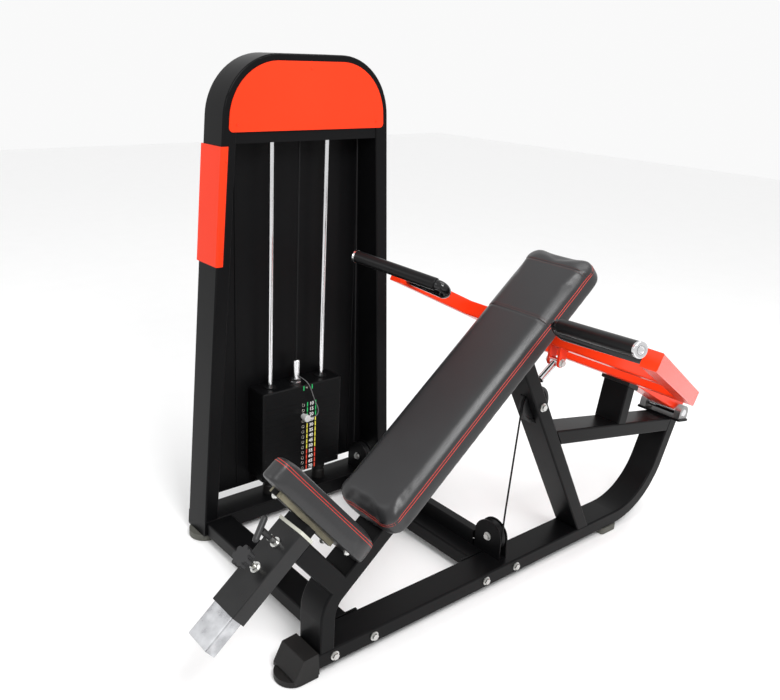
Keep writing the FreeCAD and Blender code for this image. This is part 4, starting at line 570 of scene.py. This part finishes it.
co += OFF * (0.0012 * np.clip((s - SEAM_LOW) / 0.004, 0, 1) * upper)[:, None]
band = np.exp(-((n - 0.1865) / 0.003) ** 2)
core = np.clip(s, BACK_LOW + SPINE_END, BACK_LOW + BACK_LONG - SPINE_END)
out = co - (core[:, None] * ALONG + n[:, None] * OFF)
co -= out / np.linalg.norm(out, axis=1, keepdims=True) * (0.0014 * band)[:, None]
skin.vertices.foreach_set("co", co.ravel())
skin.materials.append(leatherette)
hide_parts("back_pad")
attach(back_cushion, "frame")


# ---- stitching of the back cushion -----------------------------------------------------
# Twisted red thread: two rows round the side band, and two dark rows beside each cross seam.
THREAD = 0.0009
BACK_ROWS = (0.1812, 0.1868)
thread_red = coat("thread_red", (0.42, 0.020, 0.012), (0.58, 0.040, 0.022), 0.55, patch=200.0, grain=2500.0,
                  height=0.00008)
thread_dark = coat("thread_dark", (0.070, 0.016, 0.014), (0.110, 0.024, 0.020), 0.55, patch=200.0, grain=2500.0,
                   height=0.00008)


def on_skin(mesh, starts, towards):
    """Points where rays from starts along towards meet the mesh."""
    tree = BVHTree.FromPolygons([v.co for v in mesh.vertices], [p.vertices for p in mesh.polygons])
    hits = [tree.ray_cast(Vector(a), Vector(d)) for a, d in zip(starts, towards)]
    return np.array([a if h[0] is None else h[0] for a, h in zip(starts, hits)])


def ring_cord(path, upward, radius, sides=8):
    """Closed cord: a circle of radius carried along a closed path, square to it."""
    run = np.roll(path, -1, 0) - np.roll(path, 1, 0)
    run = run / np.linalg.norm(run, axis=1, keepdims=True)
    aside = np.cross(run, upward)
    aside = aside / np.linalg.norm(aside, axis=1, keepdims=True)
    rise = np.cross(aside, run)
    a = np.linspace(0, 2 * np.pi, sides, endpoint=False)
    return path[:, None] + radius * (np.cos(a)[:, None] * aside[:, None] + np.sin(a)[:, None] * rise[:, None])


def torus_faces(rows, count, first=0):
    """Quads of a grid closed both ways."""
    at = first + np.arange(rows * count).reshape(rows, count)
    over, side = np.roll(at, -1, 0), np.roll(at, -1, 1)
    return np.stack([at, side, np.roll(side, -1, 0), over], -1).reshape(-1, 4).tolist()


def side_rows(name, mesh, loop, normal, axes, levels, radius, material):
    """Cords round a pad's side at the given levels, laid half into its skin."""
    first, second, third = axes
    points, faces = [], []
    for level_at in levels:
        outside = in_space(loop + normal * 0.06, np.full(len(loop), level_at), first, second, third, 0 * third)
        inward = -(normal[:, :1] * first + normal[:, 1:] * second)
        path = on_skin(mesh, outside, inward)
        path = (np.roll(path, 1, 0) + 2 * path + np.roll(path, -1, 0)) / 4
        rings = ring_cord(path, third, radius)
        faces += torus_faces(len(path), rings.shape[1], sum(len(p) for p in points))
        points.append(rings.reshape(-1, 3))
    return sheet_mesh(name, np.concatenate(points), faces, material)


back_rows = side_rows("back_side_stitching", skin, loop, normal, (ACROSS, ALONG, OFF), BACK_ROWS, THREAD,
                      thread_red)
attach(back_rows, "frame")


def stitches(name, mesh, starts, step, down, material):
    """One short bar of thread per start, from start to start plus step, its ends sunk: six
    sides, five rings along a shallow arch."""
    t = np.linspace(0, 1, 5)
    lift = THREAD * (0.9 * np.sin(t * np.pi) - 0.35)
    foot = on_skin(mesh, starts, np.repeat(down[None], len(starts), 0))
    line = foot[:, None] + step[None, None] * t[:, None] - down * lift[:, None]
    aside = np.cross(step, down)
    aside = aside / np.linalg.norm(aside)
    a = np.linspace(0, 2 * np.pi, 6, endpoint=False)
    rings = line[:, :, None] + THREAD * 0.6 * (np.cos(a)[:, None] * aside - np.sin(a)[:, None] * down)
    at = np.arange(30).reshape(5, 6)
    side = np.roll(at, -1, 1)
    one = np.stack([at[:-1], side[:-1], side[1:], at[1:]], -1).reshape(-1, 4)
    faces = (one[None] + 30 * np.arange(len(starts))[:, None, None]).reshape(-1, 4).tolist()
    return sheet_mesh(name, rings, faces, material)


across = np.arange(-0.118, 0.118, 0.0055)
rows = [(x, s) for s in (SEAM_LOW + 0.004, SEAM_LOW + 0.010, SEAM_HIGH - 0.004, SEAM_HIGH + 0.004) for x in across]
starts = np.array([ACROSS * x + ALONG * s + OFF * 0.30 for x, s in rows])
cross_rows = stitches("back_cross_stitching", skin, starts, ACROSS * 0.0040, -OFF, thread_dark)
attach(cross_rows, "frame")


# ---- seat cushion ----------------------------------------------------------------------
# Saddle-shaped: a narrow round nose in front and a wide back, covered like the back cushion
# with two red rows round its side.
SEAT_LOW, SEAT_THICK, SEAT_NOSE, SEAT_REAR = 0.345, 0.073, 0.548, 0.152
SEAT_ROWS = (0.3965, 0.4035)
seat_corners = [(-0.142 + SWELL, SEAT_REAR + SWELL), (0.142 - SWELL, SEAT_REAR + SWELL),
                (0.028 - SWELL / 2, SEAT_NOSE - SWELL), (-0.028 + SWELL / 2, SEAT_NOSE - SWELL)]
seat_loop, seat_normal = round_loop(seat_corners, [0.064, 0.064, 0.022, 0.022], 220)
middle = np.stack([seat_loop[:, 0] * 0, np.clip(seat_loop[:, 1], SEAT_REAR + 0.10, SEAT_NOSE - 0.04)], 1)
plan, up = cushion_grid(seat_loop, seat_normal, middle, SEAT_THICK - SWELL, 0.016, 0.002)
points = in_space(plan, up, ACROSS, OFF, ALONG, ALONG * SEAT_LOW)
seat_cushion = sheet_mesh("seat_cushion", points, [f[::-1] for f in ring_faces(len(plan), len(seat_loop))])
seat_skin = inflate(seat_cushion, ALONG, 0.006, 0.004, SEAT_LOW)
seat_skin.materials.append(leatherette)
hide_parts("seat_pad")
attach(seat_cushion, "seat")
seat_rows = side_rows("seat_side_stitching", seat_skin, seat_loop, seat_normal, (ACROSS, OFF, ALONG),
                      SEAT_ROWS, THREAD, thread_red)
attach(seat_rows, "seat")


# ---- seat clip -------------------------------------------------------------------------
# Folded black channel that hugs the middle of the two zinc plates under the seat and
# carries them on the post.
held = np.array([vertex.co[:] for vertex in node["seat_plates"].data.vertices])
x, s, n = held[:, 0], held @ ALONG, held @ OFF
x_ends = (x.min() + 0.27 * np.ptp(x), x.min() + 0.75 * np.ptp(x))
s_ends, n_ends = (s.min() - 0.0015, s.max() - 0.0005), (n.min() - 0.0015, n.max() + 0.0015)
around = [(0, 0), (1, 0), (1, 1), (0, 1)]
corners = np.array([ACROSS * x_ends[i] + OFF * n_ends[j] + ALONG * s_ends[k] for i in (0, 1) for j, k in around])
sides = [[a, (a + 1) % 4, (a + 1) % 4 + 4, a + 4] for a in range(4)] + [[3, 2, 1, 0], [4, 5, 6, 7]]
seat_clip = sheet_mesh("seat_clip", corners, sides, frame_black, smooth=False)
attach(seat_clip, "seat")


# ---- plate marks -----------------------------------------------------------------------
# Screen-printed on the front edge of each plate: two coloured bars with the plate's number
# between them; green for light, yellow for middle and red for heavy.
STACK_MIDDLE, STACK_FRONT, PITCH_Z, STACK_HIGH = 0.5415, -0.721, 0.021, 0.4285
INK = 0.0002
BAR_WIDE, BAR_HIGH, TOP_MARK, FIGURE = 0.0042, 0.017, 0.4835, 0.0180
ink_green = coat("ink_green", (0.010, 0.42, 0.10), (0.014, 0.48, 0.13), 0.45, patch=300.0, grain=3000.0)
ink_yellow = coat("ink_yellow", (0.80, 0.72, 0.06), (0.86, 0.78, 0.09), 0.45, patch=300.0, grain=3000.0)
ink_red = coat("ink_red", (0.78, 0.055, 0.02), (0.85, 0.075, 0.03), 0.45, patch=300.0, grain=3000.0)
ink_white = coat("ink_white", (0.74, 0.74, 0.74), (0.82, 0.82, 0.82), 0.45, patch=300.0, grain=3000.0)


def printed_bars(name, rows, material, body):
    """Flat rectangles of ink, rows of (y, z, width, height), a fifth of a millimetre proud."""
    rows = np.asarray(rows, float)
    dy = np.array([-0.5, 0.5, 0.5, -0.5])
    dz = np.array([-0.5, -0.5, 0.5, 0.5])
    y = rows[:, :1] + dy * rows[:, 2:3]
    z = rows[:, 1:2] + dz * rows[:, 3:4]
    front = np.stack([np.full_like(y, STACK_FRONT + INK), y, z], -1)
    rear = front - np.array([INK * 1.5, 0, 0])
    points = np.concatenate([front, rear], 1)
    one = np.array([(0, 1, 2, 3), (0, 4, 5, 1), (1, 5, 6, 2), (2, 6, 7, 3), (3, 7, 4, 0), (7, 6, 5, 4)])
    faces = (one[None] + 8 * np.arange(len(rows))[:, None, None]).reshape(-1, 4).tolist()
    made = sheet_mesh(name, points, faces, material, smooth=False)
    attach(made, body)
    return made


def printed_numbers(name, rows, size, body):
    """Plate numbers, rows of (text, y, z), joined as one thin mesh facing the bench."""
    points, faces, first = [], [], 0
    stand = np.array([[0, 0, 1], [1, 0, 0], [0, 1, 0]], float)
    for text, y, z in rows:
        letters = bpy.data.curves.new("letters", "FONT")
        letters.body = text
        letters.size = size
        letters.align_x = "CENTER"
        letters.align_y = "CENTER"
        letters.extrude = INK
        letters.offset = size * 0.022
        holder = bpy.data.objects.new("letters", letters)
        bpy.context.scene.collection.objects.link(holder)
        flat = bpy.data.meshes.new_from_object(holder.evaluated_get(bpy.context.evaluated_depsgraph_get()))
        co = np.empty(len(flat.vertices) * 3)
        flat.vertices.foreach_get("co", co)
        points.append(co.reshape(-1, 3) @ stand.T + np.array([STACK_FRONT, y, z]))
        faces += [tuple(first + v for v in p.vertices) for p in flat.polygons]
        first += len(flat.vertices)
        bpy.data.objects.remove(holder)
    made = sheet_mesh(name, np.concatenate(points), faces, ink_white, smooth=False)
    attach(made, body)
    return made


place = [STACK_HIGH - (k + 0.5) * PITCH_Z for k in range(13)]
inks = {"green": (ink_green, range(0, 3)), "yellow": (ink_yellow, range(3, 9)), "red": (ink_red, range(9, 13))}
for shade, (ink, plates) in inks.items():
    for body, part in (("stack", [k for k in plates if k < 3]), ("frame", [k for k in plates if k > 2])):
        rows = [(STACK_MIDDLE + off, place[k], BAR_WIDE, BAR_HIGH) for k in part for off in (0.0185, 0.0550)]
        if shade == "green" and body == "stack":
            rows += [(STACK_MIDDLE + off, TOP_MARK, BAR_WIDE, BAR_HIGH) for off in (0.001, 0.0375)]
        if rows:
            printed_bars("%s_bars_%s" % (shade, body), rows, ink, body)
for name, plates, body in (("lifted_numbers", range(3), "stack"), ("resting_numbers", range(3, 13), "frame")):
    figures = [(str(10 + 5 * k), STACK_MIDDLE + 0.0368, place[k] - 0.0005) for k in plates]
    printed_numbers(name, figures, FIGURE, body)


# ---- pin holes and top screw -----------------------------------------------------------
# Each plate's pin hole gets a thin bright metal ring at its mouth, a painted glint standing in
# for light caught on the hole's chamfer; a small screw locks the top plate between its two bars.
glint_ring = [(0.0052, 0.0), (0.0062, 0.0004), (0.0060, 0.0009), (0.0050, 0.0011), (0.0043, 0.0007), (0.0042, -0.001)]
# Bright steel for the painted glint rings in the pin holes, and for the top screw.
glint_ring_and_screw_steel = coat("glint_ring_and_screw_steel", (0.30, 0.28, 0.25), (0.62, 0.60, 0.56), 0.24, patch=90.0, grain=1500.0,
                    height=0.00002, Metallic=1.0)
for body, part in (("stack", range(0, 3)), ("frame", range(3, 13))):
    feet = np.array([(STACK_FRONT, STACK_MIDDLE, place[k]) for k in part if k != 2])
    rings = np.concatenate([turned(glint_ring, foot, np.array([1.0, 0, 0]), 20)[None] for foot in feet])
    at = np.arange(len(glint_ring) * 20).reshape(len(glint_ring), 20)
    side = np.roll(at, -1, 1)
    one = np.stack([at[:-1], side[:-1], side[1:], at[1:]], -1).reshape(-1, 4)
    faces = (one[None] + at.size * np.arange(len(feet))[:, None, None]).reshape(-1, 4).tolist()
    lined = sheet_mesh("pin_hole_glints_%s" % body, rings, faces, glint_ring_and_screw_steel)
    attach(lined, body)
pan = [(0.0040, -0.0005), (0.0042, 0.0006), (0.0036, 0.0018), (0.0022, 0.0024), (0.0014, 0.0023), (0.0004, 0.0016)]
turned_row("top_screw", pan, [(STACK_FRONT, STACK_MIDDLE + 0.013, 0.4850)], (1, 0, 0), glint_ring_and_screw_steel, "stack")


# ---- screws of the coloured plates -----------------------------------------------------
# Pan-head screws painted with the plates hold them to the header and to the tower's leg.
low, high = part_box("header_plate")
ring_y, ring_z = (low.y + high.y) / 2, low.z + 0.022
feet = [(high.x, ring_y + off, ring_z) for off in (-0.272, 0.272)] + [(high.x, ring_y, high.z - 0.022)]
turned_row("header_screws", pan, feet, (1, 0, 0), plate_orange, "frame")
low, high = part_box("side_plate")
feet = [(high.x, low.y + 0.018 + (z - low.z) * np.tan(np.radians(4.1)), z) for z in (low.z + 0.045, high.z - 0.045)]
turned_row("side_plate_screws", pan, feet, (1, 0, 0), plate_orange, "frame")


# ---- stack cable -----------------------------------------------------------------------
# The cable's hanging end, from the front top pulley to the stem.
def straight_cord(name, start, end, radius, material, rings=24, sides=14):
    """Round cord from start to end: circles on evenly spaced sections, both ends closed."""
    start, end = np.asarray(start, float), np.asarray(end, float)
    run = (end - start) / np.linalg.norm(end - start)
    aside = np.cross(run, [0.0, 1.0, 0.0] if abs(run[0]) > 0.9 else [1.0, 0.0, 0.0])
    aside = aside / np.linalg.norm(aside)
    rise = np.cross(run, aside)
    a = np.linspace(0, 2 * np.pi, sides, endpoint=False)
    t = np.linspace(0, 1, rings)[:, None, None]
    points = start + (end - start) * t + radius * (np.cos(a)[:, None] * aside + np.sin(a)[:, None] * rise)
    faces = ring_faces(rings, sides)
    faces += [tuple(range(sides))[::-1], tuple((rings - 1) * sides + k for k in range(sides))]
    return sheet_mesh(name, points, faces, material)


CABLE_R = 0.003
low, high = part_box("stack_cable")
middle_x, middle_y = (low.x + high.x) / 2, (low.y + high.y) / 2
hanging_cable = straight_cord("hanging_cable", (middle_x, middle_y, low.z), (middle_x, middle_y, high.z), CABLE_R,
                              cable_jacket)
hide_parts("stack_cable")
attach(hanging_cable, "frame")
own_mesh(hanging_cable)


# ---- arm cable -------------------------------------------------------------------------
# The cable's other end, from the strut pulley's groove to the bolt inside the chromed link.
TOUCH, LUG = (0.011, 0.8755, 0.6503), (0.011, 0.992, 0.730)
arm_cable = straight_cord("arm_cable", TOUCH, LUG, CABLE_R, cable_jacket, rings=40)
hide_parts("link_cable")
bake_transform(arm_cable)
